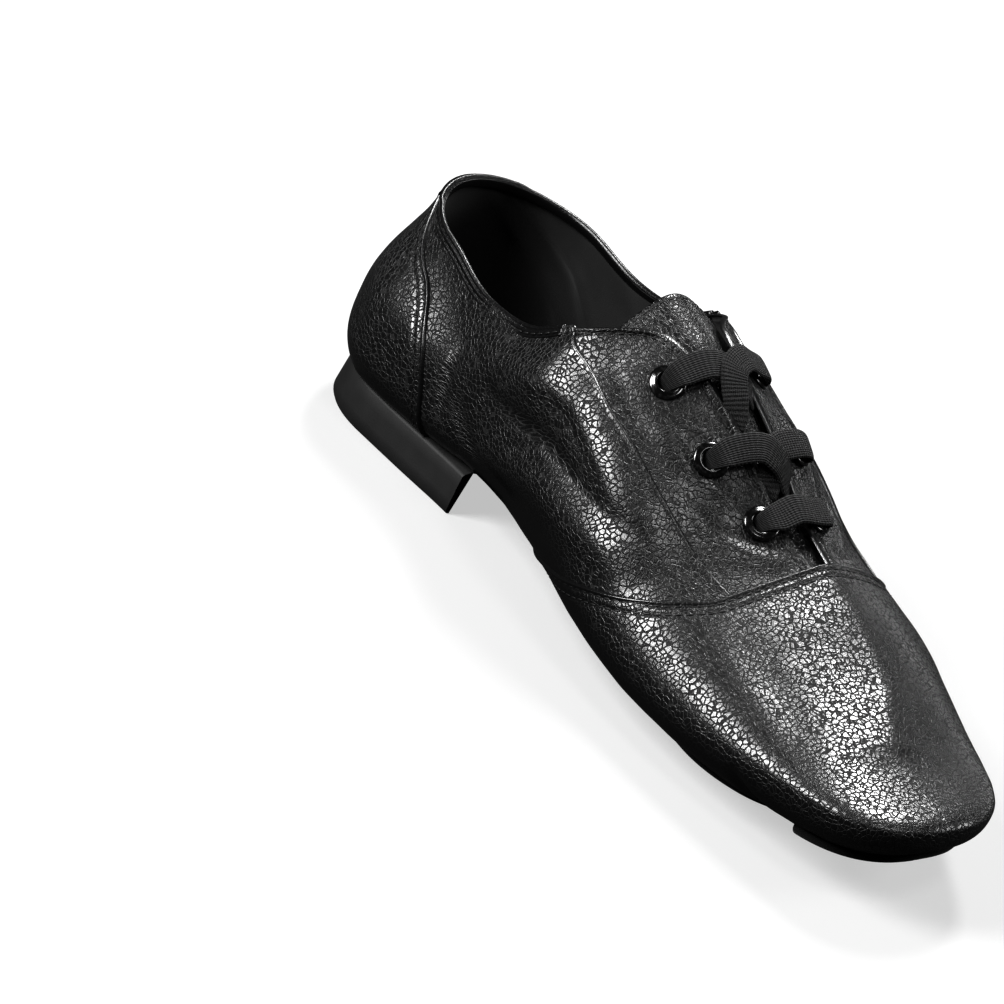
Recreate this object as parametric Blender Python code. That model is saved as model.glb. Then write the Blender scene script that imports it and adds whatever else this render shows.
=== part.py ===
"""A left jazz shoe: a soft black leather lace-up with a split sole, standing empty on its heel and ball pad.

Metres, +Z up. The toe points towards -Y, the medial side is at -X, and z = 0 is the floor.
A place on the upper is given by its share of the length, from heel back to toe tip, and by its height:
0 is the line under the foot, 1 the top edge, and 2 the crown line of the instep.
"""

import math

import bmesh
import bpy
import numpy as np
from mathutils import Matrix, Vector

# Driving sizes
LENGTH = 0.245
BALL_WIDTH = 0.086
INSTEP_HEIGHT = 0.074
WALL = 0.0022
CENTRE_OUT = 0.0016
GAP = 0.0003
SEAM_RUN = 0.0003

# How far each leather panel stands from the last's own surface, where the quarter lies
COUNTER_LIFT = 0.0006
QUARTER_LIFT = 0.0
FACING_LIFT = -0.0005
VAMP_LIFT = 0.0004

BINDING_THICK = 0.0008
BINDING_LEG = 0.003
BINDING_INSIDE_LEG = 0.0024
BINDING_ROOM = 0.0006
BINDING_TOP_ROOM = 0.0005
BINDING_STEP = 0.001
INSOLE_THICK = 0.0025
INSOLE_ROOM = 0.0006
INSOLE_SHARE = 0.81
TONGUE_THICK = 0.0016
TONGUE_ROOM = 0.0007
TONGUE_COVER = 0.014
TONGUE_FOOT_COVER = 0.0087
TONGUE_RISE = 0.0115
TONGUE_TAPER = 0.12
TONGUE_CORNER = 0.15
HEEL_RIM = 0.0122
HEEL_INSET = 0.001
CUP_SHARE = 0.80
BALL_PAD_LENGTH = 0.078
BALL_PAD_WIDTH = 0.063
BALL_PAD_BLUNT = 0.24
BALL_PAD_THICK = 0.0021
TOE_PAD_THICK = 0.0014
TOE_PAD_SHARE = 0.82
PAD_ROOM = 0.0005
EYELET_HOLE = 0.0024
EYELET_BARREL = 0.0029
EYELET_FLANGE = 0.0048
EYELET_PROUD = 0.0009
LACE_WIDTH = 0.008
LACE_THICK = 0.0012
LACE_DROP = 0.0075

# Sections of the last. Shares: along of LENGTH; medial, lateral, keel, ridge and gap of BALL_WIDTH;
# under, wide_at and edge_at of INSTEP_HEIGHT. gap is half of the opening, lean is in degrees.
COLUMNS = ("along", "medial", "lateral", "keel", "under", "wide_at", "ridge", "gap", "edge_at", "lean", "square")
SECTIONS = (
    (0.125, 0.385, 0.350, 0.000, 0.150, 0.345, 0.040, 0.275, 0.765, 80, 0.94),
    (0.200, 0.378, 0.352, 0.000, 0.145, 0.340, 0.030, 0.300, 0.720, 77, 0.94),
    (0.280, 0.368, 0.356, 0.000, 0.135, 0.350, 0.015, 0.308, 0.760, 66, 0.89),
    (0.350, 0.388, 0.368, 0.000, 0.118, 0.355, 0.000, 0.272, 0.915, 50, 0.84),
    (0.410, 0.425, 0.390, 0.000, 0.100, 0.340, 0.000, 0.110, 0.995, 34, 0.82),
    (0.470, 0.458, 0.415, 0.000, 0.080, 0.312, 0.010, 0.068, 0.940, 30, 0.80),
    (0.530, 0.488, 0.440, 0.000, 0.055, 0.262, 0.035, 0.055, 0.826, 24, 0.80),
    (0.600, 0.508, 0.462, 0.000, 0.038, 0.215, 0.070, 0.042, 0.655, 18, 0.80),
    (0.655, 0.516, 0.475, -0.010, 0.035, 0.195, 0.078, 0.035, 0.582, 14, 0.80),
    (0.720, 0.515, 0.458, -0.030, 0.035, 0.200, 0.070, 0.030, 0.530, 12, 0.80),
    (0.790, 0.500, 0.385, -0.062, 0.042, 0.225, 0.040, 0.028, 0.470, 10, 0.80),
    (0.880, 0.462, 0.268, -0.100, 0.075, 0.275, -0.100, 0.026, 0.405, 10, 0.78),
)
HEEL_BACK = {"wide_at": 0.370, "gap": 0.268, "edge_at": 0.830, "lean": 84}
TOE_TIP = {"under": 0.150, "wide_at": 0.330}
HEEL_ROUND = 2.25
TOE_ROUND = 2.25
TOE_TURN = -0.055

# Seams on the upper, as (height, along): the counter's front edge and the vamp's back edge
COUNTER_SEAM = ((0.00, 0.225), (0.40, 0.212), (0.55, 0.203), (0.68, 0.185), (0.80, 0.147), (0.92, 0.085), (1.00, 0.055))
VAMP_SEAM = (
    (0.00, 0.335), (0.18, 0.370), (0.34, 0.441), (0.42, 0.500), (0.50, 0.553),
    (0.59, 0.607), (0.65, 0.632), (0.74, 0.652), (1.00, 0.658),
)
# The facing's lower edge, as (share of the way from the counter's seam to the vamp's, height)
FACING_SEAM = (
    (0.455, 1.000), (0.462, 0.900), (0.475, 0.840), (0.517, 0.790), (0.600, 0.765), (0.760, 0.756), (0.870, 0.757),
    (1.000, 0.773),
)
# Eyelets from the top pair down, as (along, height)
EYELETS = ((0.451, 0.908), (0.534, 0.899), (0.599, 0.941))

HEEL_FRONT = 0.270
BALL_PAD_FRONT = 0.857
TONGUE_FOOT = 0.675
TONGUE_BEND = 0.410

MEDIAL, LATERAL = -1, 1
WELD = 1e-7


def smooth_through(rows, places):
    """The monotone cubic curve through (place, value) rows, so that nothing overshoots its rows."""
    xs, ys = np.array(rows, float).T
    step = np.diff(xs)
    rise = np.diff(ys) / step
    slope = np.concatenate([rise[:1], np.zeros(len(xs) - 2), rise[-1:]])
    for i in range(1, len(xs) - 1):
        if rise[i - 1] * rise[i] > 0:
            near, far = 2 * step[i] + step[i - 1], step[i] + 2 * step[i - 1]
            slope[i] = (near + far) / (near / rise[i - 1] + far / rise[i])
    i = np.clip(np.searchsorted(xs, places) - 1, 0, len(xs) - 2)
    t = (places - xs[i]) / step[i]
    return (
        (1 + 2 * t) * (1 - t) ** 2 * ys[i]
        + t * (1 - t) ** 2 * step[i] * slope[i]
        + t * t * (3 - 2 * t) * ys[i + 1]
        + t * t * (t - 1) * step[i] * slope[i + 1]
    )


HEEL_AXIS = SECTIONS[0][0]
TOE_AXIS = SECTIONS[-1][0]
# The slopes that the last rows arrive with, which the toe carries on
TOE_SLOPE = {
    name: (end - before) / (SECTIONS[-1][0] - SECTIONS[-2][0]) / LENGTH
    for name, before, end in zip(COLUMNS, SECTIONS[-2], SECTIONS[-1])
}


def section(along):
    """The row of SECTIONS at any share of the length, in metres."""
    table = np.array(SECTIONS)
    row = {name: float(smooth_through(table[:, [0, k]], along)) for k, name in enumerate(COLUMNS) if k}
    for name in ("medial", "lateral", "keel", "ridge", "gap"):
        row[name] *= BALL_WIDTH
    for name in ("lateral", "keel", "ridge"):
        row[name] += CENTRE_OUT
    row["medial"] -= CENTRE_OUT
    for name in ("under", "wide_at", "edge_at"):
        row[name] *= INSTEP_HEIGHT
    return row


def bezier(corners, t):
    a, b, c, d = (np.array(corner) for corner in corners)
    t = t[:, None]
    return (1 - t) ** 3 * a + 3 * (1 - t) ** 2 * t * b + 3 * (1 - t) * t * t * c + t**3 * d


def half_profile(width, under, under_side, wide_at, edge_out, edge_at, lean, square):
    """(out, up) points from under the foot, round the widest point, to the top edge."""
    t = np.linspace(0, 1, 25)
    rise = edge_at - wide_at
    low_corner = (width, under_side + 2 * (1 - square) * (wide_at - under_side))
    lower = bezier(((0, under), (square * width, under_side), low_corner, (width, wide_at)), t)
    along_edge = 0.55 * (math.cos(lean) * abs(width - edge_out) + math.sin(lean) * rise)
    shoulder = (edge_out + along_edge * math.cos(lean), edge_at - along_edge * math.sin(lean))
    upper = bezier(((width, wide_at), (width, wide_at + 0.55 * rise), shoulder, (edge_out, edge_at)), t)
    return np.vstack([lower, upper[1:]])


def run_of(curve):
    return np.concatenate([[0], np.cumsum(np.linalg.norm(np.diff(curve, axis=0), axis=1))])


def blend(start, end, share):
    return start + (end - start) * share


def shape_at(side, along):
    """All that one half-section needs: its profile, its direction from the keel, and its crown."""
    row = section(min(max(along, HEEL_AXIS), TOE_AXIS))
    half = row["medial"] if side == MEDIAL else row["lateral"]
    width = half - side * row["keel"]
    ridge_out = side * (row["ridge"] - row["keel"])
    edge_out = row["gap"] + ridge_out
    under_side, wide_at, edge_at, lean = row["under"], row["wide_at"], row["edge_at"], row["lean"]
    turn, ahead = 0.0, 0
    if along < HEEL_AXIS:
        turn, ahead = math.pi / 2 * (1 - along / HEEL_AXIS), -1
        reach, power = HEEL_AXIS * LENGTH, HEEL_ROUND
        share = math.sin(turn) ** 2
        wide_at = blend(wide_at, HEEL_BACK["wide_at"] * INSTEP_HEIGHT, share)
        edge_at = blend(edge_at, HEEL_BACK["edge_at"] * INSTEP_HEIGHT, share)
        edge_out = blend(edge_out, HEEL_BACK["gap"] * BALL_WIDTH, share)
        lean = blend(lean, HEEL_BACK["lean"], share)
    if along > TOE_AXIS:
        turn, ahead = math.pi / 2 * (along - TOE_AXIS) / (1 - TOE_AXIS), 1
        reach, power = (1 - TOE_AXIS) * LENGTH, TOE_ROUND
        share = math.sin(turn) ** 2
        under_side = blend(under_side, TOE_TIP["under"] * INSTEP_HEIGHT, share)
        wide_at = blend(wide_at, TOE_TIP["wide_at"] * INSTEP_HEIGHT, share)
    if ahead:
        width = ((math.cos(turn) / width) ** power + (math.sin(turn) / reach) ** power) ** (-1 / power)
    rise = (wide_at, edge_out, edge_at, math.radians(lean), row["square"])
    profile = half_profile(width, row["under"], under_side, *rise)
    crown = (edge_out - ridge_out) * math.tan(math.radians(lean)) / 2
    start = min(max(along, HEEL_AXIS), TOE_AXIS)
    return profile, width, ridge_out, crown, row["keel"], turn, ahead, start, wide_at


def last_points(side, along, heights):
    """Points on the last's surface at one share of the length, which runs on round the heel's back and the toe tip."""
    if not 0 <= along <= 1:
        side, along = -side, -along if along < 0 else 2 - along
    profile, width, ridge_out, crown, keel, turn, ahead, start, wide_at = shape_at(side, along)
    heights = np.asarray(heights, float)
    run = run_of(profile)
    low = np.clip(heights, 0, 1) * run[-1]
    over = np.clip(heights - 1, 0, 1)
    out = np.interp(low, run, profile[:, 0])
    out = out + (ridge_out - profile[-1, 0]) * over
    up = np.interp(low, run, profile[:, 1]) + crown * over * (2 - over)
    forward = ahead * math.sin(turn) * out
    x = keel + side * math.cos(turn) * out
    if ahead > 0:
        left = forward * (1 - forward / ((1 - TOE_AXIS) * LENGTH))
        narrowing = (-TOE_SLOPE["medial"] if side == MEDIAL else TOE_SLOPE["lateral"]) * BALL_WIDTH * left
        x = x + (TOE_TURN * BALL_WIDTH * math.sin(turn) ** 1.5 + narrowing) * np.abs(out) / width
        share = np.clip((up - wide_at) / (profile[-1, 1] + crown - wide_at), 0, 1)
        slope = blend(TOE_SLOPE["wide_at"], TOE_SLOPE["edge_at"], share * share * (3 - 2 * share))
        up = up + slope * INSTEP_HEIGHT * left
    return np.column_stack([x, LENGTH / 2 - start * LENGTH - forward, up])


def height_at_run(side, along, length):
    """The height that is this far along the section from its top edge."""
    return 1 - length / run_of(shape_at(side, along)[0])[-1]


def height_at_out(side, along, share):
    """The height, on the sole's side, where the section reaches this share of its half width."""
    profile, width = shape_at(side, along)[:2]
    run = run_of(profile)
    lower = len(profile) // 2 + 1
    return np.interp(share * width, profile[:lower, 0], run[:lower]) / run[-1]


def last_frame(side, along, height):
    """A point on the last, its outward normal, and the directions to the toe and up its section."""
    here = last_points(side, along, [height, height - 0.01, height + 0.01])
    near, far = last_points(side, along - 0.004, [height])[0], last_points(side, along + 0.004, [height])[0]
    rising = here[2] - here[1]
    to_toe = far - near
    normal = np.cross(to_toe, rising) * -side
    unit = [direction / np.linalg.norm(direction) for direction in (normal, to_toe, rising)]
    return here[0], unit[0], unit[1], unit[2]


def welded(points):
    """The numbers of the points once equal ones are made one, and the first of each."""
    keys = np.round(points / WELD).astype(np.int64)
    _, first, number = np.unique(keys, axis=0, return_index=True, return_inverse=True)
    return number.reshape(-1), first


def grid_faces(columns, rows, start=0):
    """Faces between neighbouring columns of points, numbered column by column."""
    return [
        (start + i * rows + j, start + (i + 1) * rows + j, start + (i + 1) * rows + j + 1, start + i * rows + j + 1)
        for i in range(columns - 1)
        for j in range(rows - 1)
    ]


def clean_faces(faces, number):
    """Each face in welded numbers, without repeated corners, and without faces that closed up."""
    kept = []
    for face in faces:
        corners = [number[corner] for corner in face]
        corners = [corner for k, corner in enumerate(corners) if corner != corners[k - 1]]
        if len(corners) > 2:
            kept.append(corners)
    return kept


def surface_normals(points, faces):
    total = np.zeros_like(points)
    for face in faces:
        corners = points[face]
        across = np.cross(corners[1] - corners[0], corners[2] - corners[0])
        if len(face) > 3:
            across = across + np.cross(corners[2] - corners[0], corners[3] - corners[0])
        total[face] += across
    return total / np.linalg.norm(total, axis=1)[:, None]


def sheet(columns, faces):
    """The welded surface of a stack of point columns: its points, its normals and its faces."""
    points = np.vstack(columns)
    number, first = welded(points)
    faces = clean_faces(faces, number)
    return points[first], surface_normals(points[first], faces), faces, number


def body_between(upper, lower, faces):
    """One closed body from matching points on its two sides."""
    count = len(upper)
    corners = np.vstack([upper, lower])
    walls = {}
    for face in faces:
        for k, corner in enumerate(face):
            edge = (face[k - 1], corner)
            if edge[::-1] in walls:
                del walls[edge[::-1]]
            else:
                walls[edge] = True
    solid = [list(face) for face in faces]
    solid += [[corner + count for corner in reversed(face)] for face in faces]
    solid += [[b, a, a + count, b + count] for a, b in walls]
    return corners, solid


def swept(sections):
    """One closed body through equal rings of points, with both ends capped."""
    size = len(sections[0])
    faces = []
    for i in range(len(sections) - 1):
        for j in range(size):
            k = (j + 1) % size
            faces.append([i * size + j, i * size + k, (i + 1) * size + k, (i + 1) * size + j])
    faces.append(list(range(size)))
    faces.append([(len(sections) - 1) * size + j for j in reversed(range(size))])
    return np.vstack(sections), faces


def add_object(name, points, faces, material, smooth_angle=50):
    mesh = bpy.data.meshes.new(name)
    build = bmesh.new()
    corners = [build.verts.new(point) for point in points]
    for face in faces:
        build.faces.new([corners[k] for k in face])
    loose = [corner for corner in build.verts if not corner.link_faces]
    bmesh.ops.delete(build, geom=loose, context="VERTS")
    bmesh.ops.recalc_face_normals(build, faces=build.faces)
    build.to_mesh(mesh)
    build.free()
    mesh.shade_smooth()
    mesh.set_sharp_from_angle(angle=math.radians(smooth_angle))
    made = bpy.data.objects.new(name, mesh)
    made.data.materials.append(material)
    bpy.context.scene.collection.objects.link(made)
    return made


def add_material(name, colour, roughness, metallic=0.0):
    material = bpy.data.materials.new(name)
    material.use_nodes = True
    shader = material.node_tree.nodes["Principled BSDF"]
    shader.inputs["Base Color"].default_value = (*colour, 1)
    shader.inputs["Roughness"].default_value = roughness
    shader.inputs["Metallic"].default_value = metallic
    material.diffuse_color = (*colour, 1)
    return material


def add_cutter(name, length, radius, place):
    """A plain round cutter that stays out of the model."""
    mesh = bpy.data.meshes.new(name)
    build = bmesh.new()
    bmesh.ops.create_cone(build, cap_ends=True, segments=14, radius1=radius, radius2=radius, depth=length)
    build.to_mesh(mesh)
    build.free()
    cutter = bpy.data.objects.new(name, mesh)
    cutter.matrix_world = place
    cutter.hide_render = True
    cutter.display_type = "WIRE"
    bpy.context.scene.collection.objects.link(cutter)
    return cutter


def boolean(target, operation, other):
    modifier = target.modifiers.new(operation.title(), "BOOLEAN")
    modifier.operation = operation
    modifier.object = other
    modifier.solver = "EXACT"


def both_sides(medial, lateral):
    """One ring of columns, from the heel's back along the medial side to the toe and back again."""
    return medial + lateral[::-1]


def upper_columns(side):
    """Columns of (along, height, lift) of one side, denser where the panels' edges are."""
    columns = []
    facing = np.array(FACING_SEAM)
    rows_low = np.array([0, 0.09, 0.17, 0.24, 0.30, 0.36, 0.43, 0.52, 0.63, 0.75, 0.86, 0.95, 1])
    rows_high = np.array([0, 0.34, 0.67, 1])
    half_run = SEAM_RUN / LENGTH / 2

    def add(place, line, low_lift, high_lift):
        step = GAP / run_of(shape_at(side, min(place(line), 1.0))[0])[-1] / 2
        low_top, high_start = (line - step, line + step) if line < 1 else (1.0, 1.0)
        heights = np.concatenate([rows_low * low_top, blend(high_start, 1, rows_high)])
        lifts = np.concatenate([np.full(len(rows_low), low_lift), np.full(len(rows_high), high_lift)])
        columns.append([(min(max(place(h), 0.0), 1.0), h, lift) for h, lift in zip(heights, lifts)])

    def counter(height):
        return float(smooth_through(COUNTER_SEAM, height))

    def vamp(height):
        return float(smooth_through(VAMP_SEAM, height))

    for share in (0, 0.18, 0.36, 0.54, 0.72, 0.88):
        add(lambda h: share * (counter(h) - half_run), 1.0, COUNTER_LIFT, COUNTER_LIFT)
    add(lambda h: counter(h) - half_run, 1.0, COUNTER_LIFT, COUNTER_LIFT)
    for share in (0, 0.03, 0.06, 0.11, 0.18, 0.27, 0.36, 0.42, 0.455, 0.462, 0.475, 0.495, 0.53, 0.59, 0.66, 0.73, 0.80, 0.87, 0.94, 1.0):
        line = float(smooth_through(facing, max(share, facing[0, 0])))
        start, end = (lambda h: counter(h) + half_run), (lambda h: vamp(h) - half_run)
        high_lift = QUARTER_LIFT if line >= 1 else FACING_LIFT
        add(lambda h: blend(start(h), end(h), share), line, QUARTER_LIFT, high_lift)
    toe_line = facing[-1, 1]
    for share in (0, 0.08, 0.2, 0.34, 0.48, 0.61, 0.68, 0.74, 0.8, 0.86, 0.91, 0.955, 1.0):
        add(lambda h: blend(vamp(h) + half_run, 1.0, share), toe_line, VAMP_LIFT, VAMP_LIFT)
    return columns


def crown_columns(side):
    """The closed strip along the instep's crown, from the slit's end to the toe."""
    edges = [column for column in upper_columns(side) if column[0][2] == VAMP_LIFT]
    return [[(column[-1][0], height, VAMP_LIFT) for height in (1.0, 2.0)] for column in edges]


def placed(side, column):
    """The points of one column, whose places along the length may differ."""
    return np.vstack([last_points(side, along, [height]) for along, height, _ in column])


def upper_sheet():
    """The upper's surface on the last: its points, normals, faces and lifts, and its columns' own numbers."""
    sides = {side: upper_columns(side) for side in (MEDIAL, LATERAL)}
    ring = both_sides([(MEDIAL, column) for column in sides[MEDIAL]], [(LATERAL, column) for column in sides[LATERAL]])
    crowns = {side: crown_columns(side) for side in (MEDIAL, LATERAL)}
    crown = both_sides([(MEDIAL, column) for column in crowns[MEDIAL]], [(LATERAL, c) for c in crowns[LATERAL]])
    columns = [placed(side, column) for side, column in ring + crown]
    lifts = np.array([lift for _, column in ring + crown for _, _, lift in column])
    rows = len(ring[0][1])
    faces = grid_faces(len(ring), rows) + grid_faces(len(crown), 2, len(ring) * rows)
    points, normals, faces, number = sheet(columns, faces)
    lift = np.zeros(len(points))
    lift[number] = lifts
    return points, normals, faces, lift, number[: len(ring) * rows].reshape(len(ring), rows)


def make_upper(leather):
    """The leather upper, one wall that closes under the foot, with its panels as steps in the wall."""
    points, normals, faces, lift, _ = upper_sheet()
    outer = points + normals * lift[:, None]
    inner = points - normals * WALL
    body = add_object("upper", *body_between(outer, inner, faces), leather)
    for side, k in ((side, k) for side in (MEDIAL, LATERAL) for k in range(len(EYELETS))):
        cutter = add_cutter(f"eyelet_cutter_{k}_{side}", 4 * WALL, EYELET_BARREL + GAP, eyelet_place(side, k))
        boolean(body, "DIFFERENCE", cutter)
    return body


def eyelet_place(side, k):
    """The frame of an eyelet: its origin on the last's surface and its Z along the normal."""
    point, normal, to_toe, _ = last_frame(side, *EYELETS[k])
    across = np.cross(normal, to_toe)
    turn = Matrix([to_toe, across, normal]).transposed().to_4x4()
    return Matrix.Translation(Vector(point)) @ turn


def make_binding(leather):
    """The rolled edge of the collar, a channel over the rim from one facing round the heel to the other."""
    points, normals, _, lift, columns = upper_sheet()
    rim_lift = lift[columns[:, -1]]
    last = max(i for i in range(len(columns) // 2) if rim_lift[i] in (COUNTER_LIFT, QUARTER_LIFT))
    rim = []
    for i in (*range(-1 - last, 0), *range(1, last + 1)):
        if not rim or np.linalg.norm(points[columns[i, -1]] - points[columns[rim[-1], -1]]) > BINDING_STEP:
            rim.append(i)
    edges, outward = points[columns[rim, -1]], normals[columns[rim, -1]]
    rising = np.cross(outward, np.gradient(edges, axis=0))
    rising *= np.sign(rising[:, 2:]) / np.linalg.norm(rising, axis=1)[:, None]
    outward = np.cross(np.cross(rising, outward), rising)
    inside, high, thick = -WALL - BINDING_ROOM, BINDING_TOP_ROOM, BINDING_THICK
    low, inner_low = -BINDING_LEG, -BINDING_INSIDE_LEG
    sections = []
    for i, edge, normal, up in zip(rim, edges, outward, rising):
        outside = max(rim_lift[i - 1], rim_lift[i], rim_lift[i + 1]) + BINDING_ROOM
        corners = (
            (outside, low), (outside + thick, low), (outside + thick, high + 0.4 * thick),
            (outside + 0.3 * thick, high + thick), (inside - 0.3 * thick, high + thick),
            (inside - thick, high + 0.4 * thick), (inside - thick, inner_low), (inside, inner_low), (inside, high),
            (outside, high),
        )
        sections.append(np.array([edge + normal * out + up * rise for out, rise in corners]))
    return add_object("collar_binding", *swept(sections), leather)


def make_tongue(leather):
    """The tongue, a bent sheet under both facings, with its free top standing above them."""
    rows = []
    for along in np.linspace(TONGUE_FOOT, TONGUE_BEND, 12):
        points = []
        for side in (MEDIAL, LATERAL):
            cover = TONGUE_FOOT_COVER if along > EYELETS[-1][0] else TONGUE_COVER
            low = height_at_run(side, along, cover)
            heights = np.append(np.linspace(low, 1, 5), (1.33, 1.66, 2.0))
            half = last_points(side, along, heights)
            points.append(half if side == MEDIAL else half[::-1][1:])
        rows.append(np.vstack(points))
    line = rows[-1]
    crown = len(line) // 2
    rising = line[crown] - rows[-3][crown]
    rising /= np.linalg.norm(rising)
    for share, corner in ((0.25, 0), (0.5, 0), (0.75, 0), (0.93, 0.3), (1.0, 1.0)):
        spread = (line - line[crown]) * (1 - TONGUE_TAPER * share - TONGUE_CORNER * corner)
        rows.append(line[crown] + spread + rising * TONGUE_RISE * share)
    points, normals, faces, _ = sheet(rows, grid_faces(len(rows), len(line)))
    if normals[:, 2].sum() < 0:
        normals = -normals
    top = points - normals * (WALL + TONGUE_ROOM)
    return add_object("tongue", *body_between(top, top - normals * TONGUE_THICK, faces), leather)


def make_insole(fabric):
    """The soft insole, which lies on the inside of the wall under the foot."""
    heel, toe = np.linspace(0, HEEL_AXIS, 8), np.linspace(TOE_AXIS, 1, 8)
    places = np.concatenate([heel, np.linspace(HEEL_AXIS, TOE_AXIS, 17)[1:-1], toe])
    rows = np.array([0, 0.35, 0.7, 1])
    spots = both_sides([(MEDIAL, along) for along in places], [(LATERAL, along) for along in places])
    columns = [last_points(side, along, rows * height_at_out(side, along, INSOLE_SHARE)) for side, along in spots]
    points, normals, faces, _ = sheet(columns, grid_faces(len(columns), len(rows)))
    foot = points - normals * (WALL + INSOLE_ROOM)
    return add_object("insole", *body_between(foot - normals * INSOLE_THICK, foot, faces), fabric)


def make_heel(rubber):
    """The rubber heel block, cupped on top to take the upper and flat underneath."""
    places = np.concatenate([np.linspace(0, HEEL_AXIS, 9), np.linspace(HEEL_AXIS, HEEL_FRONT, 6)[1:]])
    rows = np.array([0, 0.3, 0.6, 0.85, 1])
    spots = both_sides([(MEDIAL, along) for along in places], [(LATERAL, along) for along in places])
    base = [last_points(side, along, rows * height_at_out(side, along, CUP_SHARE)) for side, along in spots]
    points, normals, _, number = sheet(base, grid_faces(len(base), len(rows)))
    cup = (points + normals * (COUNTER_LIFT + GAP))[number.reshape(len(base), len(rows))]
    tops = []
    for (side, along), inner in zip(spots, cup):
        centre, widest = last_points(side, along, [0, height_at_out(side, along, 1)])
        away = (widest - centre) * (1, 1, 0)
        rim = centre + away * (1 - HEEL_INSET / np.linalg.norm(away))
        rim[2] = HEEL_RIM
        tops.append(np.vstack([inner, rim]))
    points, _, faces, _ = sheet(tops, grid_faces(len(tops), len(rows) + 1))
    return add_object("heel", *body_between(points, points * (1, 1, 0), faces), rubber, 35)


def underside(x, y):
    """The point of the last straight above a place on the floor, under the middle of the shoe."""
    along = (LENGTH / 2 - y) / LENGTH
    keel = section(along)["keel"]
    side = MEDIAL if x < keel else LATERAL
    profile = shape_at(side, along)[0]
    lower = len(profile) // 2 + 1
    return np.array([x, y, np.interp(abs(x - keel), profile[:lower, 0], profile[:lower, 1])])


def make_ball_pad(suede):
    """The egg-shaped suede pad under the ball of the foot, pointed towards the heel and flat on the floor."""
    middle_y = LENGTH / 2 - BALL_PAD_FRONT * LENGTH + BALL_PAD_LENGTH / 2
    middle_x = section(BALL_PAD_FRONT - BALL_PAD_LENGTH / LENGTH / 2)["keel"]
    rings, around = (0.0, 0.4, 0.65, 0.82, 0.92, 1.0), 32
    columns = []
    for turn in np.linspace(0, 2 * math.pi, around + 1)[:-1]:
        out = BALL_PAD_WIDTH / 2 * math.sin(turn) * (1 - BALL_PAD_BLUNT * math.cos(turn))
        back = BALL_PAD_LENGTH / 2 * math.cos(turn)
        columns.append(np.array([underside(middle_x + out * r, middle_y + back * r) for r in rings]))
    points, normals, faces, _ = sheet(columns + columns[:1], grid_faces(around + 1, len(rings)))
    if normals[:, 2].sum() > 0:
        normals = -normals
    top = points + normals * (VAMP_LIFT + PAD_ROOM)
    bottom = top + normals * BALL_PAD_THICK
    bottom[:, 2] = np.maximum(bottom[:, 2], 0)
    return add_object("ball_pad", *body_between(bottom, top, faces), suede)


def make_toe_pad(suede):
    """The D-shaped suede pad under the toes, its straight side towards the ball."""
    places, rows = np.linspace(TOE_AXIS, 1, 9), np.array([0, 0.3, 0.55, 0.75, 0.9, 1])
    spots = both_sides([(MEDIAL, along) for along in places], [(LATERAL, along) for along in places])
    columns = [last_points(side, along, rows * height_at_out(side, along, TOE_PAD_SHARE)) for side, along in spots]
    points, normals, faces, _ = sheet(columns, grid_faces(len(columns), len(rows)))
    top = points + normals * (VAMP_LIFT + PAD_ROOM)
    return add_object("toe_pad", *body_between(top + normals * TOE_PAD_THICK, top, faces), suede)


def eyelet_seat(side, k):
    """How high the flange's flat side lies over the last, clear of the leather's own bend."""
    frame = np.array(eyelet_place(side, k))
    along, rise = EYELETS[k]
    run = run_of(shape_at(side, along)[0])[-1]
    highest = 0.0
    for turn in np.linspace(0, 2 * math.pi, 13):
        spot = (along + EYELET_FLANGE / LENGTH * math.cos(turn), rise + EYELET_FLANGE / run * math.sin(turn))
        point = last_points(side, spot[0], [spot[1]])[0]
        highest = max(highest, (point - frame[:3, 3]) @ frame[:3, 2])
    return highest + FACING_LIFT + GAP


def make_eyelet(name, side, k, metal):
    """A black metal ring: a rolled flange outside and a barrel through the leather."""
    seat = eyelet_seat(side, k)
    profile = (
        (EYELET_HOLE, -WALL), (EYELET_BARREL, -WALL), (EYELET_BARREL, seat), (EYELET_FLANGE, seat),
        (EYELET_FLANGE, seat + 0.4 * EYELET_PROUD), (0.5 * (EYELET_FLANGE + EYELET_BARREL), seat + EYELET_PROUD),
        (EYELET_BARREL, seat + 0.9 * EYELET_PROUD), (EYELET_HOLE, seat + 0.3 * EYELET_PROUD),
    )
    around, size = 14, len(profile)
    points = []
    for turn in np.linspace(0, 2 * math.pi, around + 1)[:-1]:
        points += [(r * math.cos(turn), r * math.sin(turn), z) for r, z in profile]
    faces = []
    for i in range(around):
        for j in range(size):
            a, b = i * size, ((i + 1) % around) * size
            faces.append([a + j, a + (j + 1) % size, b + (j + 1) % size, b + j])
    ring = add_object(name, points, faces, metal, 35)
    ring.matrix_world = eyelet_place(side, k)
    return ring


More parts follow.
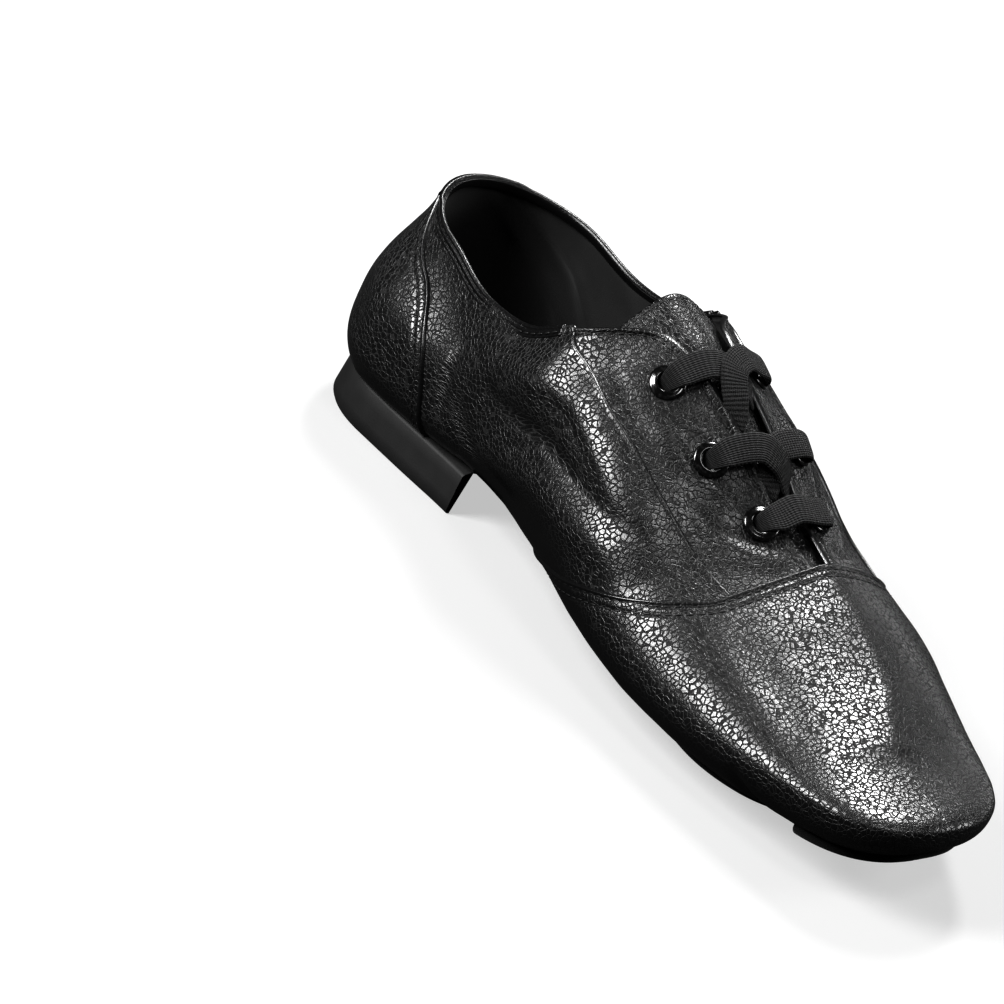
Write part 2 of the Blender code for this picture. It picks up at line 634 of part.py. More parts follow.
def lace_strip(name, path, height, material):
    """A flat woven strip, through (side, along, height on the section) places, this high over the last."""
    spots = [last_frame(side, along, rise) for side, along, rise in path]
    points = np.array([point + normal * height for point, normal, _, _ in spots])
    normals = np.array([normal for _, normal, _, _ in spots])
    forward = np.gradient(points, axis=0)
    forward /= np.linalg.norm(forward, axis=1)[:, None]
    across = np.cross(normals, forward)
    across /= np.linalg.norm(across, axis=1)[:, None]
    normals = np.cross(forward, across)
    half, thick = LACE_WIDTH / 2, LACE_THICK / 2
    outline = (
        (-half, -0.4 * thick), (-0.8 * half, -thick), (0.8 * half, -thick), (half, -0.4 * thick),
        (half, 0.4 * thick), (0.8 * half, thick), (-0.8 * half, thick), (-half, 0.4 * thick),
    )
    sections = [
        np.array([point + a * side_step + n * rise for side_step, rise in outline])
        for point, a, n in zip(points, across, normals)
    ]
    return add_object(name, *swept(sections), material, 35)


def lace_height(k):
    """The lace's middle over the last, just clear of the flanges of one pair of eyelets."""
    return max(eyelet_seat(side, k) for side in (MEDIAL, LATERAL)) + EYELET_PROUD + 1.5 * GAP + LACE_THICK / 2


def make_lace_bar(material):
    """The straight bar of lace over the lowest pair of eyelets."""
    along, rise = EYELETS[-1]
    heights = np.append(np.linspace(rise, 1, 4), (1.4, 1.8))
    path = both_sides([(MEDIAL, along, height) for height in heights], [(LATERAL, along, height) for height in heights])
    return lace_strip("lace_bar", path, lace_height(len(EYELETS) - 1), material)


def make_lace_cross(name, k, material):
    """Two strips of lace from one pair of eyelets, which meet over the slit on the way to the toe."""
    along, rise = EYELETS[k]
    meet = along + LACE_DROP / LENGTH
    legs = []
    for side, leg_name, over in ((MEDIAL, name, 0.0), (LATERAL, f"{name}_leg", LACE_THICK / 3)):
        path = [(side, blend(along, meet, share), blend(rise, 2.0, share)) for share in np.linspace(0, 1, 5)]
        path.append((-side, meet + 0.1 * LACE_WIDTH / LENGTH, 1.7))
        legs.append(lace_strip(leg_name, path, lace_height(k) + over, material))
    boolean(legs[0], "UNION", legs[1])
    legs[1].hide_render = True
    legs[1].display_type = "WIRE"
    return legs[0]


def make_shoe():
    for old in list(bpy.data.objects):
        bpy.data.objects.remove(old)
    leather = add_material("black_leather", (0.020, 0.020, 0.021), 0.38)
    edge_leather = add_material("edge_leather", (0.016, 0.016, 0.017), 0.42)
    lining = add_material("insole_cloth", (0.030, 0.030, 0.032), 0.85)
    rubber = add_material("heel_rubber", (0.035, 0.035, 0.036), 0.62)
    suede = add_material("pad_suede", (0.028, 0.028, 0.029), 0.95)
    metal = add_material("eyelet_metal", (0.030, 0.030, 0.032), 0.30, 1.0)
    woven = add_material("lace_cotton", (0.028, 0.029, 0.031), 0.85)
    make_upper(leather)
    make_binding(edge_leather)
    make_tongue(leather)
    make_insole(lining)
    make_heel(rubber)
    make_ball_pad(suede)
    make_toe_pad(suede)
    for side, side_name in ((MEDIAL, "medial"), (LATERAL, "lateral")):
        for k, row_name in enumerate(("top", "middle", "bottom")):
            make_eyelet(f"eyelet_{side_name}_{row_name}", side, k, metal)
    make_lace_bar(woven)
    make_lace_cross("lace_cross_top", 0, woven)
    make_lace_cross("lace_cross_middle", 1, woven)


make_shoe()
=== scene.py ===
"""The looks of a left jazz shoe: soft pebbled black leather, a rubber heel, suede pads, flat laces."""

import math

import bmesh
import bpy
import numpy as np
from mathutils import Matrix, Vector, noise
from mathutils.kdtree import KDTree


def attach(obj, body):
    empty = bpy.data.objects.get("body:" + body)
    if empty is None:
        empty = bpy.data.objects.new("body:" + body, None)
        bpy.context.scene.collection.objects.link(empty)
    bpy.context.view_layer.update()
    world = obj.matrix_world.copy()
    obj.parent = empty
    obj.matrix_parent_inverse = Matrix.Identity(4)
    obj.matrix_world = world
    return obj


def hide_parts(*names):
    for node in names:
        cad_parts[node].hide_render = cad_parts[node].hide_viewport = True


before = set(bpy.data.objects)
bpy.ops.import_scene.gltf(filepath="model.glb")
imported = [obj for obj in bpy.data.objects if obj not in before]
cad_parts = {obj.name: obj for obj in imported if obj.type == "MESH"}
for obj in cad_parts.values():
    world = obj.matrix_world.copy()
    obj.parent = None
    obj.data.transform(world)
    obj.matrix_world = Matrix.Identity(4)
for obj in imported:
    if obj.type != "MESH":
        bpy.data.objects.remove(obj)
bpy.ops.object.select_all(action="DESELECT")
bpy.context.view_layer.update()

# The last: the foot-shaped block that the shoe is pulled over. Its leather is laid on this one surface.
# A place on it is a side, a share of the length from heel back to toe tip, and a height on the section:
# 0 under the foot, 1 at the top edge, 2 on the crown line of the instep.
MEDIAL, LATERAL = -1, 1
LENGTH, BALL_WIDTH, INSTEP_HEIGHT, CENTRE_OUT = 0.245, 0.086, 0.074, 0.0016
LAST_COLUMNS = ("along", "medial", "lateral", "keel", "under", "wide_at", "ridge", "gap", "edge_at", "lean", "square")
LAST_SECTIONS = (
    (0.125, 0.385, 0.350, 0.000, 0.150, 0.345, 0.040, 0.275, 0.765, 80, 0.94),
    (0.200, 0.378, 0.352, 0.000, 0.145, 0.340, 0.030, 0.300, 0.720, 77, 0.94),
    (0.280, 0.368, 0.356, 0.000, 0.135, 0.350, 0.015, 0.308, 0.760, 66, 0.89),
    (0.350, 0.388, 0.368, 0.000, 0.118, 0.355, 0.000, 0.272, 0.915, 50, 0.84),
    (0.410, 0.425, 0.390, 0.000, 0.100, 0.340, 0.000, 0.110, 0.995, 34, 0.82),
    (0.470, 0.458, 0.415, 0.000, 0.080, 0.312, 0.010, 0.068, 0.940, 30, 0.80),
    (0.530, 0.488, 0.440, 0.000, 0.055, 0.262, 0.035, 0.055, 0.826, 24, 0.80),
    (0.600, 0.508, 0.462, 0.000, 0.038, 0.215, 0.070, 0.042, 0.655, 18, 0.80),
    (0.655, 0.516, 0.475, -0.010, 0.035, 0.195, 0.078, 0.035, 0.582, 14, 0.80),
    (0.720, 0.515, 0.458, -0.030, 0.035, 0.200, 0.070, 0.030, 0.530, 12, 0.80),
    (0.790, 0.500, 0.385, -0.062, 0.042, 0.225, 0.040, 0.028, 0.470, 10, 0.80),
    (0.880, 0.462, 0.268, -0.100, 0.075, 0.275, -0.100, 0.026, 0.405, 10, 0.78),
)
HEEL_BACK = {"wide_at": 0.370, "gap": 0.268, "edge_at": 0.830, "lean": 84}
TOE_TIP = {"under": 0.150, "wide_at": 0.330}
HEEL_AXIS, TOE_AXIS, END_ROUND, TOE_TURN = 0.125, 0.880, 2.25, -0.055


def smooth_through(rows, places):
    """The monotone cubic curve through (place, value) rows, so that nothing overshoots its rows."""
    xs, ys = np.array(rows, float).T
    step = np.diff(xs)
    rise = np.diff(ys) / step
    slope = np.concatenate([rise[:1], np.zeros(len(xs) - 2), rise[-1:]])
    for i in range(1, len(xs) - 1):
        if rise[i - 1] * rise[i] > 0:
            near, far = 2 * step[i] + step[i - 1], step[i] + 2 * step[i - 1]
            slope[i] = (near + far) / (near / rise[i - 1] + far / rise[i])
    i = np.clip(np.searchsorted(xs, places) - 1, 0, len(xs) - 2)
    t = (places - xs[i]) / step[i]
    return (
        (1 + 2 * t) * (1 - t) ** 2 * ys[i]
        + t * (1 - t) ** 2 * step[i] * slope[i]
        + t * t * (3 - 2 * t) * ys[i + 1]
        + t * t * (t - 1) * step[i] * slope[i + 1]
    )


def blend(start, end, share):
    return start + (end - start) * share


def unit(vectors):
    return vectors / np.linalg.norm(vectors, axis=-1, keepdims=True)


def bezier(corners, t):
    a, b, c, d = corners
    return (1 - t) ** 3 * a + 3 * (1 - t) ** 2 * t * b + 3 * (1 - t) * t * t * c + t**3 * d


def on_last(side, along, height):
    """Points of the last's surface, in metres, for arrays of places."""
    side, along, height = np.broadcast_arrays(side, np.asarray(along, float), height)
    shape = side.shape
    side, along, height = side.ravel(), along.ravel(), height.ravel()
    side = np.where((along < 0) | (along > 1), -side, side)
    along = np.where(along < 0, -along, np.where(along > 1, 2 - along, along))
    start = np.clip(along, HEEL_AXIS, TOE_AXIS)
    table = np.array(LAST_SECTIONS)
    row = {name: smooth_through(table[:, [0, k]], start) for k, name in enumerate(LAST_COLUMNS) if k}
    for name in ("medial", "lateral", "keel", "ridge", "gap"):
        row[name] = row[name] * BALL_WIDTH
    under, wide_at, edge_at = (row[name] * INSTEP_HEIGHT for name in ("under", "wide_at", "edge_at"))
    keel, ridge = row["keel"] + CENTRE_OUT, row["ridge"] + CENTRE_OUT
    width = np.where(side < 0, row["medial"] - CENTRE_OUT, row["lateral"] + CENTRE_OUT) - side * keel
    ridge_out = side * (ridge - keel)
    edge_out, under_side, lean = row["gap"] + ridge_out, under, row["lean"]
    at_heel, at_toe = along < HEEL_AXIS, along > TOE_AXIS
    past_toe_axis = np.where(at_toe, (along - TOE_AXIS) / (1 - TOE_AXIS), 0)
    turn = np.where(at_heel, 1 - along / HEEL_AXIS, past_toe_axis) * math.pi / 2
    to_heel, to_toe = np.where(at_heel, np.sin(turn) ** 2, 0), np.where(at_toe, np.sin(turn) ** 2, 0)
    wide_at = blend(wide_at, HEEL_BACK["wide_at"] * INSTEP_HEIGHT, to_heel)
    wide_at = blend(wide_at, TOE_TIP["wide_at"] * INSTEP_HEIGHT, to_toe)
    edge_at = blend(edge_at, HEEL_BACK["edge_at"] * INSTEP_HEIGHT, to_heel)
    edge_out = blend(edge_out, HEEL_BACK["gap"] * BALL_WIDTH, to_heel)
    lean = np.radians(blend(lean, HEEL_BACK["lean"], to_heel))
    under_side = blend(under_side, TOE_TIP["under"] * INSTEP_HEIGHT, to_toe)
    reach = np.where(at_heel, HEEL_AXIS, 1 - TOE_AXIS) * LENGTH
    cosine, sine = np.maximum(np.cos(turn), 0), np.sin(turn)
    width = ((cosine / width) ** END_ROUND + (sine / reach) ** END_ROUND) ** (-1 / END_ROUND)
    rise = edge_at - wide_at
    along_edge = 0.55 * (np.cos(lean) * np.abs(width - edge_out) + np.sin(lean) * rise)
    square = row["square"]
    lower = (
        (0 * width, under), (square * width, under_side),
        (width, under_side + 2 * (1 - square) * (wide_at - under_side)), (width, wide_at),
    )
    upper = (
        (width, wide_at), (width, wide_at + 0.55 * rise),
        (edge_out + along_edge * np.cos(lean), edge_at - along_edge * np.sin(lean)), (edge_out, edge_at),
    )
    steps = 18
    t = np.linspace(0, 1, steps + 1)
    sampled = []
    for axis in (0, 1):
        halves = [bezier([corner[axis][:, None] for corner in curve], t) for curve in (lower, upper)]
        sampled.append(np.hstack([halves[0], halves[1][:, 1:]]))
    run = np.cumsum(np.hypot(np.diff(sampled[0]), np.diff(sampled[1])), axis=1)
    run = np.hstack([np.zeros((len(run), 1)), run])
    target = np.clip(height, 0, 1) * run[:, -1]
    i = np.clip((run[:, 1:] < target[:, None]).sum(axis=1), 0, 2 * steps - 1)
    each = np.arange(len(i))
    t = (i + (target - run[each, i]) / (run[each, i + 1] - run[each, i])) / steps
    low, high = (bezier([np.stack(corner, 1) for corner in curve], np.clip(part, 0, 1)[:, None])
                 for curve, part in ((lower, t), (upper, t - 1)))
    out, up = np.where((t < 1)[:, None], low, high).T
    over = np.clip(height - 1, 0, 1)
    out = out + (ridge_out - edge_out) * over
    up = up + (edge_out - ridge_out) * np.tan(lean) / 2 * over * (2 - over)
    forward = sine * out
    x = keel + side * np.cos(turn) * out
    y = LENGTH / 2 - start * LENGTH - np.where(at_heel, -1, 1) * forward
    # The toe carries on at the slopes that the last rows of the table arrive with
    end, before = (dict(zip(LAST_COLUMNS, line)) for line in (table[-1], table[-2]))
    slope = {name: (end[name] - before[name]) / (end["along"] - before["along"]) / LENGTH for name in LAST_COLUMNS}
    left = forward * (1 - forward / reach)
    turned_in = TOE_TURN * BALL_WIDTH * sine**1.5 * np.abs(out) / width
    narrowing = np.where(side < 0, -slope["medial"], slope["lateral"]) * BALL_WIDTH
    crown = edge_at + (edge_out - ridge_out) * np.tan(lean) / 2
    share = np.clip((up - wide_at) / (crown - wide_at), 0, 1)
    rising = blend(slope["wide_at"], slope["edge_at"], share * share * (3 - 2 * share)) * INSTEP_HEIGHT
    x = x + np.where(at_toe, turned_in + narrowing * left * np.abs(out) / width, 0)
    up = up + np.where(at_toe, rising * left, 0)
    return np.stack([x, y, up], 1).reshape(*shape, 3)


def last_frames(side, along, height):
    """Places on the last with their outward normals and what a step along it or up it moves by."""
    side, along, height = np.broadcast_arrays(side, np.asarray(along, float), height)
    ahead, above = 0.002, 0.006
    at = np.where(height <= 1, np.clip(height, 0.02, 1 - above), np.clip(height, 1 + above, 1.97))
    to_toe = (on_last(side, along + ahead, at) - on_last(side, along - ahead, at)) / (2 * ahead)
    rising = (on_last(side, along, at + above) - on_last(side, along, at - above)) / (2 * above)
    normal = unit(np.cross(to_toe, rising) * -side[..., None])
    return on_last(side, along, height), normal, to_toe, rising


# The panels: a heel counter, two quarters, two facings with the eyelets, and a vamp that wraps the toes.
# Each is cut from soft black coated leather with a pressed pebble grain, its edges folded under, and
# lapped over the one before: the facings lie lowest, then the quarters, with counter and vamp on top.
COUNTER_SEAM = (
    (0.00, 0.225), (0.40, 0.212), (0.55, 0.203), (0.68, 0.185), (0.80, 0.147), (0.92, 0.085), (1.00, 0.055),
)
VAMP_SEAM = (
    (0.00, 0.335), (0.18, 0.370), (0.34, 0.441), (0.42, 0.500), (0.50, 0.553),
    (0.59, 0.607), (0.65, 0.632), (0.74, 0.652), (1.00, 0.658),
)
FACING_SEAM = (
    (0.472, 1.000), (0.478, 0.950), (0.484, 0.903), (0.489, 0.856), (0.497, 0.816), (0.518, 0.789), (0.590, 0.763),
    (0.760, 0.757), (0.870, 0.759), (1.000, 0.771),
)
COUNTER_LIFT, QUARTER_LIFT, FACING_LIFT, VAMP_LIFT = 0.0006, 0.0, -0.0005, 0.0004
COUNTER_LOW, QUARTER_LOW, FACING_LOW, VAMP_LOW = -0.0006, -0.0009, -0.0013, -0.0013
WALL, SECTION_RUN = 0.0022, 0.080
FOLD_ROUND, EDGE_BEAD, EDGE_BEAD_HALF = 0.0007, 0.00035, 0.0006
EYELETS = ((0.451, 0.908), (0.534, 0.899), (0.599, 0.941))

# Creases and swells: side, (along, height) places, half width and rise in millimetres
FOLDS = (
    (MEDIAL, ((0.180, 0.97), (0.255, 0.89), (0.345, 0.785), (0.440, 0.70), (0.530, 0.675), (0.600, 0.70)), 7.2, 2.1),
    (MEDIAL, ((0.290, 0.60), (0.335, 0.53), (0.400, 0.50), (0.458, 0.51), (0.532, 0.56), (0.590, 0.63)), 5.2, 1.7),
    (MEDIAL, ((0.255, 0.80), (0.307, 0.70), (0.370, 0.63), (0.430, 0.59), (0.500, 0.61), (0.570, 0.66)), 2.8, -1.3),
    (MEDIAL, ((0.240, 0.66), (0.285, 0.50), (0.340, 0.42), (0.410, 0.40), (0.480, 0.44)), 3.2, -1.2),
    (MEDIAL, ((0.215, 0.85), (0.222, 0.70), (0.230, 0.52)), 2.2, -0.8),
    (MEDIAL, ((0.352, 0.75), (0.400, 0.69), (0.455, 0.65), (0.510, 0.635)), 1.5, -0.45),
    (MEDIAL, ((0.395, 0.88), (0.425, 0.82), (0.480, 0.79), (0.545, 0.79)), 2.4, -0.3),
    (MEDIAL, ((0.490, 0.89), (0.515, 0.93), (0.548, 0.97)), 2.4, 0.7),
    (MEDIAL, ((0.480, 0.83), (0.530, 0.85), (0.580, 0.90), (0.600, 0.96)), 2.6, 0.9),
    (MEDIAL, ((0.555, 0.80), (0.590, 0.82), (0.620, 0.87), (0.645, 0.95)), 2.6, 0.9),
    (MEDIAL, ((0.500, 0.87), (0.550, 0.86), (0.585, 0.89)), 1.8, -0.7),
    (LATERAL, ((0.240, 0.95), (0.310, 0.85), (0.385, 0.76), (0.465, 0.68), (0.560, 0.66)), 6.0, 1.4),
    (LATERAL, ((0.290, 0.58), (0.345, 0.51), (0.420, 0.49), (0.500, 0.53), (0.580, 0.61)), 4.6, 1.3),
    (LATERAL, ((0.265, 0.76), (0.320, 0.67), (0.390, 0.60), (0.470, 0.58), (0.550, 0.63)), 2.8, -1.2),
    (LATERAL, ((0.245, 0.62), (0.300, 0.46), (0.370, 0.40), (0.450, 0.42)), 3.2, -1.0),
    (LATERAL, ((0.214, 0.84), (0.224, 0.66), (0.234, 0.50)), 2.2, -0.7),
    (LATERAL, ((0.480, 0.84), (0.535, 0.85), (0.590, 0.91)), 2.6, 0.8),
    (LATERAL, ((0.560, 0.80), (0.600, 0.83), (0.640, 0.93)), 2.6, 0.8),
    (MEDIAL, ((0.665, 0.96), (0.740, 0.93), (0.820, 0.89), (0.900, 0.83), (0.980, 0.70)), 10.0, 0.4),
    (MEDIAL, ((0.665, 0.72), (0.740, 0.70), (0.830, 0.67), (0.920, 0.62)), 5.0, -0.25),
    (MEDIAL, ((0.640, 0.56), (0.720, 0.58), (0.790, 0.59), (0.850, 0.58)), 8.0, 0.45),
    (MEDIAL, ((0.886, 0.62), (0.886, 0.85), (0.886, 1.00), (0.886, 1.40)), 3.4, -0.08),
    (MEDIAL, ((-0.190, 0.80), (0.0, 0.83), (0.190, 0.80)), 9.0, 1.1),
    (MEDIAL, ((-0.268, 0.38), (-0.130, 0.37), (0.0, 0.36), (0.130, 0.37), (0.268, 0.38)), 4.8, 2.5),
    (MEDIAL, ((0.030, 0.62), (0.060, 0.52), (0.110, 0.46), (0.170, 0.48)), 4.0, 0.5),
    (MEDIAL, ((0.060, 0.76), (0.080, 0.66), (0.100, 0.56)), 5.0, -0.5),
    (MEDIAL, ((0.150, 0.72), (0.165, 0.62), (0.180, 0.50)), 4.0, 0.35),
    (LATERAL, ((0.060, 0.76), (0.085, 0.66), (0.105, 0.56)), 5.0, -0.5),
    (LATERAL, ((0.145, 0.82), (0.160, 0.66), (0.175, 0.50)), 4.0, 0.35),
    # Under the shoe: the crescent fold between the pads, the pleats beside it, and the gathers round the toes
    (MEDIAL, ((0.868, 0.03), (0.866, 0.14), (0.856, 0.26), (0.846, 0.36)), 1.6, -1.0),
    (LATERAL, ((0.868, 0.03), (0.866, 0.14), (0.856, 0.26), (0.846, 0.36)), 1.6, -1.0),
    (MEDIAL, ((0.850, 0.30), (0.835, 0.38), (0.810, 0.46)), 1.9, -1.2),
    (LATERAL, ((0.850, 0.30), (0.835, 0.38), (0.810, 0.46)), 1.9, -1.2),
    *((side, ((share, 0.24), (share, 0.40)), 1.7, -0.9)
      for side in (MEDIAL, LATERAL) for share in (0.905, 0.935, 0.970)),
)


def run_of(points):
    return np.concatenate([[0], np.cumsum(np.linalg.norm(np.diff(points, axis=0), axis=1))])


def even_path(places, count):
    """A smooth path through a few (a, b) places, in equal shares of its own run."""
    places = np.array(places, float)
    run = run_of(places)
    t = np.linspace(0, run[-1], count)
    return np.stack([smooth_through(np.stack([run, places[:, k]], 1), t) for k in (0, 1)], 1)


def beside(points, line):
    """How far each point is from a line of points, and where along it, from 0 to 1."""
    flat = points.reshape(-1, 3)
    start, step = line[:-1], np.diff(line, axis=0)
    length = (step**2).sum(1)
    run = run_of(line)
    far, place = np.full(len(flat), np.inf), np.zeros(len(flat))
    near = np.where(np.linalg.norm(flat - line.mean(0), axis=1) < run[-1] / 2 + 0.03)[0]
    for k in range(len(start)):
        away = flat[near] - start[k]
        t = np.clip(away @ step[k] / length[k], 0, 1)
        distance = np.linalg.norm(away - t[:, None] * step[k], axis=1)
        closer = distance < far[near]
        far[near[closer]] = distance[closer]
        place[near[closer]] = (run[k] + t[closer] * (run[k + 1] - run[k])) / run[-1]
    return far.reshape(points.shape[:-1]), place.reshape(points.shape[:-1])


def folds_at(points, folds):
    """How far these folds stand out at each point."""
    total = np.zeros(points.shape[:-1])
    for side, places, width, rise in folds:
        path = even_path(places, 14)
        far, place = beside(points, on_last(side, path[:, 0], path[:, 1]))
        total += rise / 1000 * np.exp(-((far * 1000 / width) ** 2)) * np.sin(math.pi * np.clip(place, 0, 1)) ** 0.7
    return total


def relief(points):
    """How far the leather stands out of the last at each point, from its folds and its uneven softness."""
    total = folds_at(points, FOLDS)
    for line, width, rise in GROOVES:
        far, _ = beside(points, line)
        total += rise / 1000 * np.exp(-((far * 1000 / width) ** 2))
    flat = points.reshape(-1, 3)
    soft = [0.00016 * noise.noise(Vector(p) * 55) + 0.00008 * noise.noise(Vector(p) * 150) for p in flat]
    return total + np.array(soft).reshape(total.shape)


def rounded_edge(distance, low, high, radius=FOLD_ROUND):
    """The height over the last of a sheet whose border, this far away, is folded under."""
    share = np.clip(distance / radius, 0, 1)
    bead = EDGE_BEAD * np.exp(-(((distance - radius) / EDGE_BEAD_HALF) ** 2))
    return low + (high + bead - low) * np.sqrt(1 - (1 - share) ** 2)


def close_rows(length, fine_start=False, fine_end=False, fine=0.0002, coarse=0.0009, close=0.006):
    """Shares from 0 to 1 whose steps are short within a few millimetres of a folded or stitched border."""
    places = [0.0]
    while places[-1] < length:
        step = coarse
        if fine_start:
            step = min(step, blend(fine, coarse, min(places[-1] / close, 1)))
        if fine_end:
            step = min(step, blend(fine, coarse, min(max(length - places[-1], 0) / close, 1)))
        places.append(places[-1] + step)
    return np.array(places) / places[-1]


def grid_of(name, points, shares=None):
    """A grid whose points are set in columns and rows, with its UV map in metres where the shares are given."""
    columns, rows = points.shape[:2]
    bpy.ops.mesh.primitive_grid_add(x_subdivisions=columns - 1, y_subdivisions=rows - 1, size=1)
    piece = bpy.context.object
    piece.name = piece.data.name = name
    piece.data.vertices.foreach_set("co", points.transpose(1, 0, 2).ravel())
    if shares:
        flat = np.stack(np.broadcast_arrays(*shares), -1).transpose(1, 0, 2).reshape(-1, 2)
        corner = np.zeros(len(piece.data.loops), int)
        piece.data.loops.foreach_get("vertex_index", corner)
        piece.data.uv_layers[0].data.foreach_set("uv", flat[corner].ravel())
    return piece


def write_values(piece, key, values):
    """One number a point, which the leather's material reads."""
    piece.data.attributes.new(key, "FLOAT", "POINT").data.foreach_set("value", values.T.ravel())


def lay_sheet(name, side, along, height, lift, with_relief=True, from_edge=1.0):
    """A grid laid on the last as one sheet: rows run up the section, columns from heel to toe."""
    points, normal, _, _ = last_frames(side, along, height)
    standing = relief(points) if with_relief else np.zeros(points.shape[:-1])
    lift = lift + standing
    points = points + normal * np.asarray(lift)[..., None]
    piece = grid_of(name, points, (along * LENGTH, height * INSTEP_HEIGHT))
    streaks = np.clip((0.0 - standing * 1000) / 0.7, 0, 1) * 0.85
    grain_share = np.clip((np.broadcast_to(height, streaks.shape) - 0.40) / 0.12, 0, 1)
    grain_share = grain_share * np.clip((np.asarray(from_edge) - 0.0006) / 0.0009, 0.1, 1)
    write_values(piece, "streaks", streaks)
    write_values(piece, "grain", grain_share)
    if np.ndim(side) == 0 and side == LATERAL:
        piece.data.flip_normals()
    piece.data.update()
    return piece


def counter_at(height):
    return smooth_through(COUNTER_SEAM, np.asarray(height, float))


def vamp_at(height):
    return smooth_through(VAMP_SEAM, np.clip(height, 0, 1))


def from_seam(seam, along, height, section_run=0.078):
    """How far a place lies in front of a seam that slants over the side, in metres, square to the seam."""
    slant = (seam(height + 0.01) - seam(height - 0.01)) / 0.02 * LENGTH / section_run
    return (along - seam(height)) * LENGTH / np.sqrt(1 + slant**2)


def weld(piece, distance=1e-5, cap=False):
    """Joins the points that lie together, and with cap closes the open borders and turns every face outwards."""
    bpy.ops.object.mode_set(mode="EDIT")
    bpy.ops.mesh.select_all(action="SELECT")
    bpy.ops.mesh.remove_doubles(threshold=distance)
    if cap:
        bpy.ops.mesh.select_all(action="DESELECT")
        bpy.ops.mesh.select_non_manifold()
        bpy.ops.mesh.edge_face_add()
        face_outwards()
    bpy.ops.object.mode_set(mode="OBJECT")
    return piece


def face_outwards():
    bpy.ops.mesh.select_all(action="SELECT")
    bpy.ops.mesh.normals_make_consistent(inside=False)


def finish_piece(piece, material, slot, *nodes):
    """Smooth shading, its material, and its place on the shoe."""
    bpy.ops.object.select_all(action="DESELECT")
    piece.select_set(True)
    bpy.context.view_layer.objects.active = piece
    bpy.ops.object.shade_smooth()
    piece.data.materials.clear()
    piece.data.materials.append(material)
    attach(piece, "root")
    if nodes:
        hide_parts(*nodes)
    piece.select_set(False)
    return piece


def group_of(name, inputs, outputs):
    """A new shader node group with its sockets, its input and its output node."""
    group = bpy.data.node_groups.new(name, "ShaderNodeTree")
    for socket, value in inputs:
        made = group.interface.new_socket(socket, in_out="INPUT", socket_type="NodeSocketFloat")
        made.default_value = value
    for socket in outputs:
        group.interface.new_socket(socket, in_out="OUTPUT", socket_type="NodeSocketFloat")
    return group, group.nodes.new("NodeGroupInput"), group.nodes.new("NodeGroupOutput")


def add_node(tree, kind, settings=(), **values):
    """A node with its settings, its plain input values, and links from other nodes' outputs."""
    node = tree.nodes.new(kind)
    for key, value in dict(settings).items():
        setattr(node, key, value)
    for key, value in values.items():
        numbered = key[0] == "i" and key[1:].isdigit()
        socket = node.inputs[int(key[1:]) if numbered else key.replace("_", " ")]
        if isinstance(value, bpy.types.NodeSocket):
            tree.links.new(value, socket)
        else:
            socket.default_value = value
    return node


def ramp(tree, value, low, high, to_low=0.0, to_high=1.0):
    node = add_node(tree, "ShaderNodeMapRange", {"interpolation_type": "SMOOTHSTEP"}, i0=value)
    for k, number in enumerate((low, high, to_low, to_high)):
        node.inputs[k + 1].default_value = number
    return node.outputs[0]


def sum_of(tree, first, second, operation="ADD"):
    return add_node(tree, "ShaderNodeMath", {"operation": operation}, i0=first, i1=second).outputs[0]


def mixed(tree, share, first, second):
    return add_node(tree, "ShaderNodeMix", {"data_type": "FLOAT"}, i0=share, i2=first, i3=second).outputs[0]


def new_material(name, roughness=0.5, sheen=0.0):
    """A new material, with its node tree, its shader and its texture coordinates."""
    material = bpy.data.materials.new(name)
    material.use_nodes = True
    tree = material.node_tree
    shader = tree.nodes["Principled BSDF"]
    shader.inputs["Roughness"].default_value = roughness
    shader.inputs["Sheen Weight"].default_value = sheen
    return material, tree, shader, tree.nodes.new("ShaderNodeTexCoord")


def two_tone(tree, shader, share, first, second, blue=1.0):
    """A base colour that runs between two greys."""
    shade = add_node(tree, "ShaderNodeMix", {"data_type": "RGBA"}, i0=share)
    for socket, grey in ((6, first), (7, second)):
        shade.inputs[socket].default_value = (grey, grey, grey * blue, 1)
    tree.links.new(shade.outputs[2], shader.inputs["Base Color"])


def bumped(tree, shader, height, distance, strength):
    bump = add_node(tree, "ShaderNodeBump", Height=height, Distance=distance, Strength=strength)
    tree.links.new(bump.outputs[0], shader.inputs["Normal"])


def noise_of(tree, place, scale, detail):
    return add_node(tree, "ShaderNodeTexNoise", Vector=place.outputs["Object"], Scale=scale, Detail=detail).outputs[0]


# The pressed grain of the coated leather: flat pebbles about 1.4 mm across with narrow cracks between them,
# drawn out into fine streaks where the leather is pulled and left out along the satin lower edge.
grain, grain_in, grain_out = group_of(
    "pressed pebble grain", (("Pebbles per metre", 580.0), ("Streaks", 0.0), ("Depth", 1.0)), ("Height", "Valleys"))
place = grain.nodes.new("ShaderNodeTexCoord")
wander = add_node(grain, "ShaderNodeTexNoise", Vector=place.outputs["Object"], Scale=420.0, Detail=2.0)
wandered = add_node(grain, "ShaderNodeVectorMath", {"operation": "SCALE"}, i0=wander.outputs["Color"])
wandered.inputs["Scale"].default_value = 0.0009
wandered = add_node(
    grain, "ShaderNodeVectorMath", {"operation": "ADD"}, i0=place.outputs["Object"], i1=wandered.outputs[0])
pebble = add_node(grain, "ShaderNodeTexVoronoi", {"feature": "DISTANCE_TO_EDGE"}, Vector=wandered.outputs[0],
                  Scale=grain_in.outputs["Pebbles per metre"])
fine = add_node(grain, "ShaderNodeTexVoronoi", {"feature": "DISTANCE_TO_EDGE"}, Vector=wandered.outputs[0],
                Scale=sum_of(grain, grain_in.outputs["Pebbles per metre"], 2.3, "MULTIPLY"))
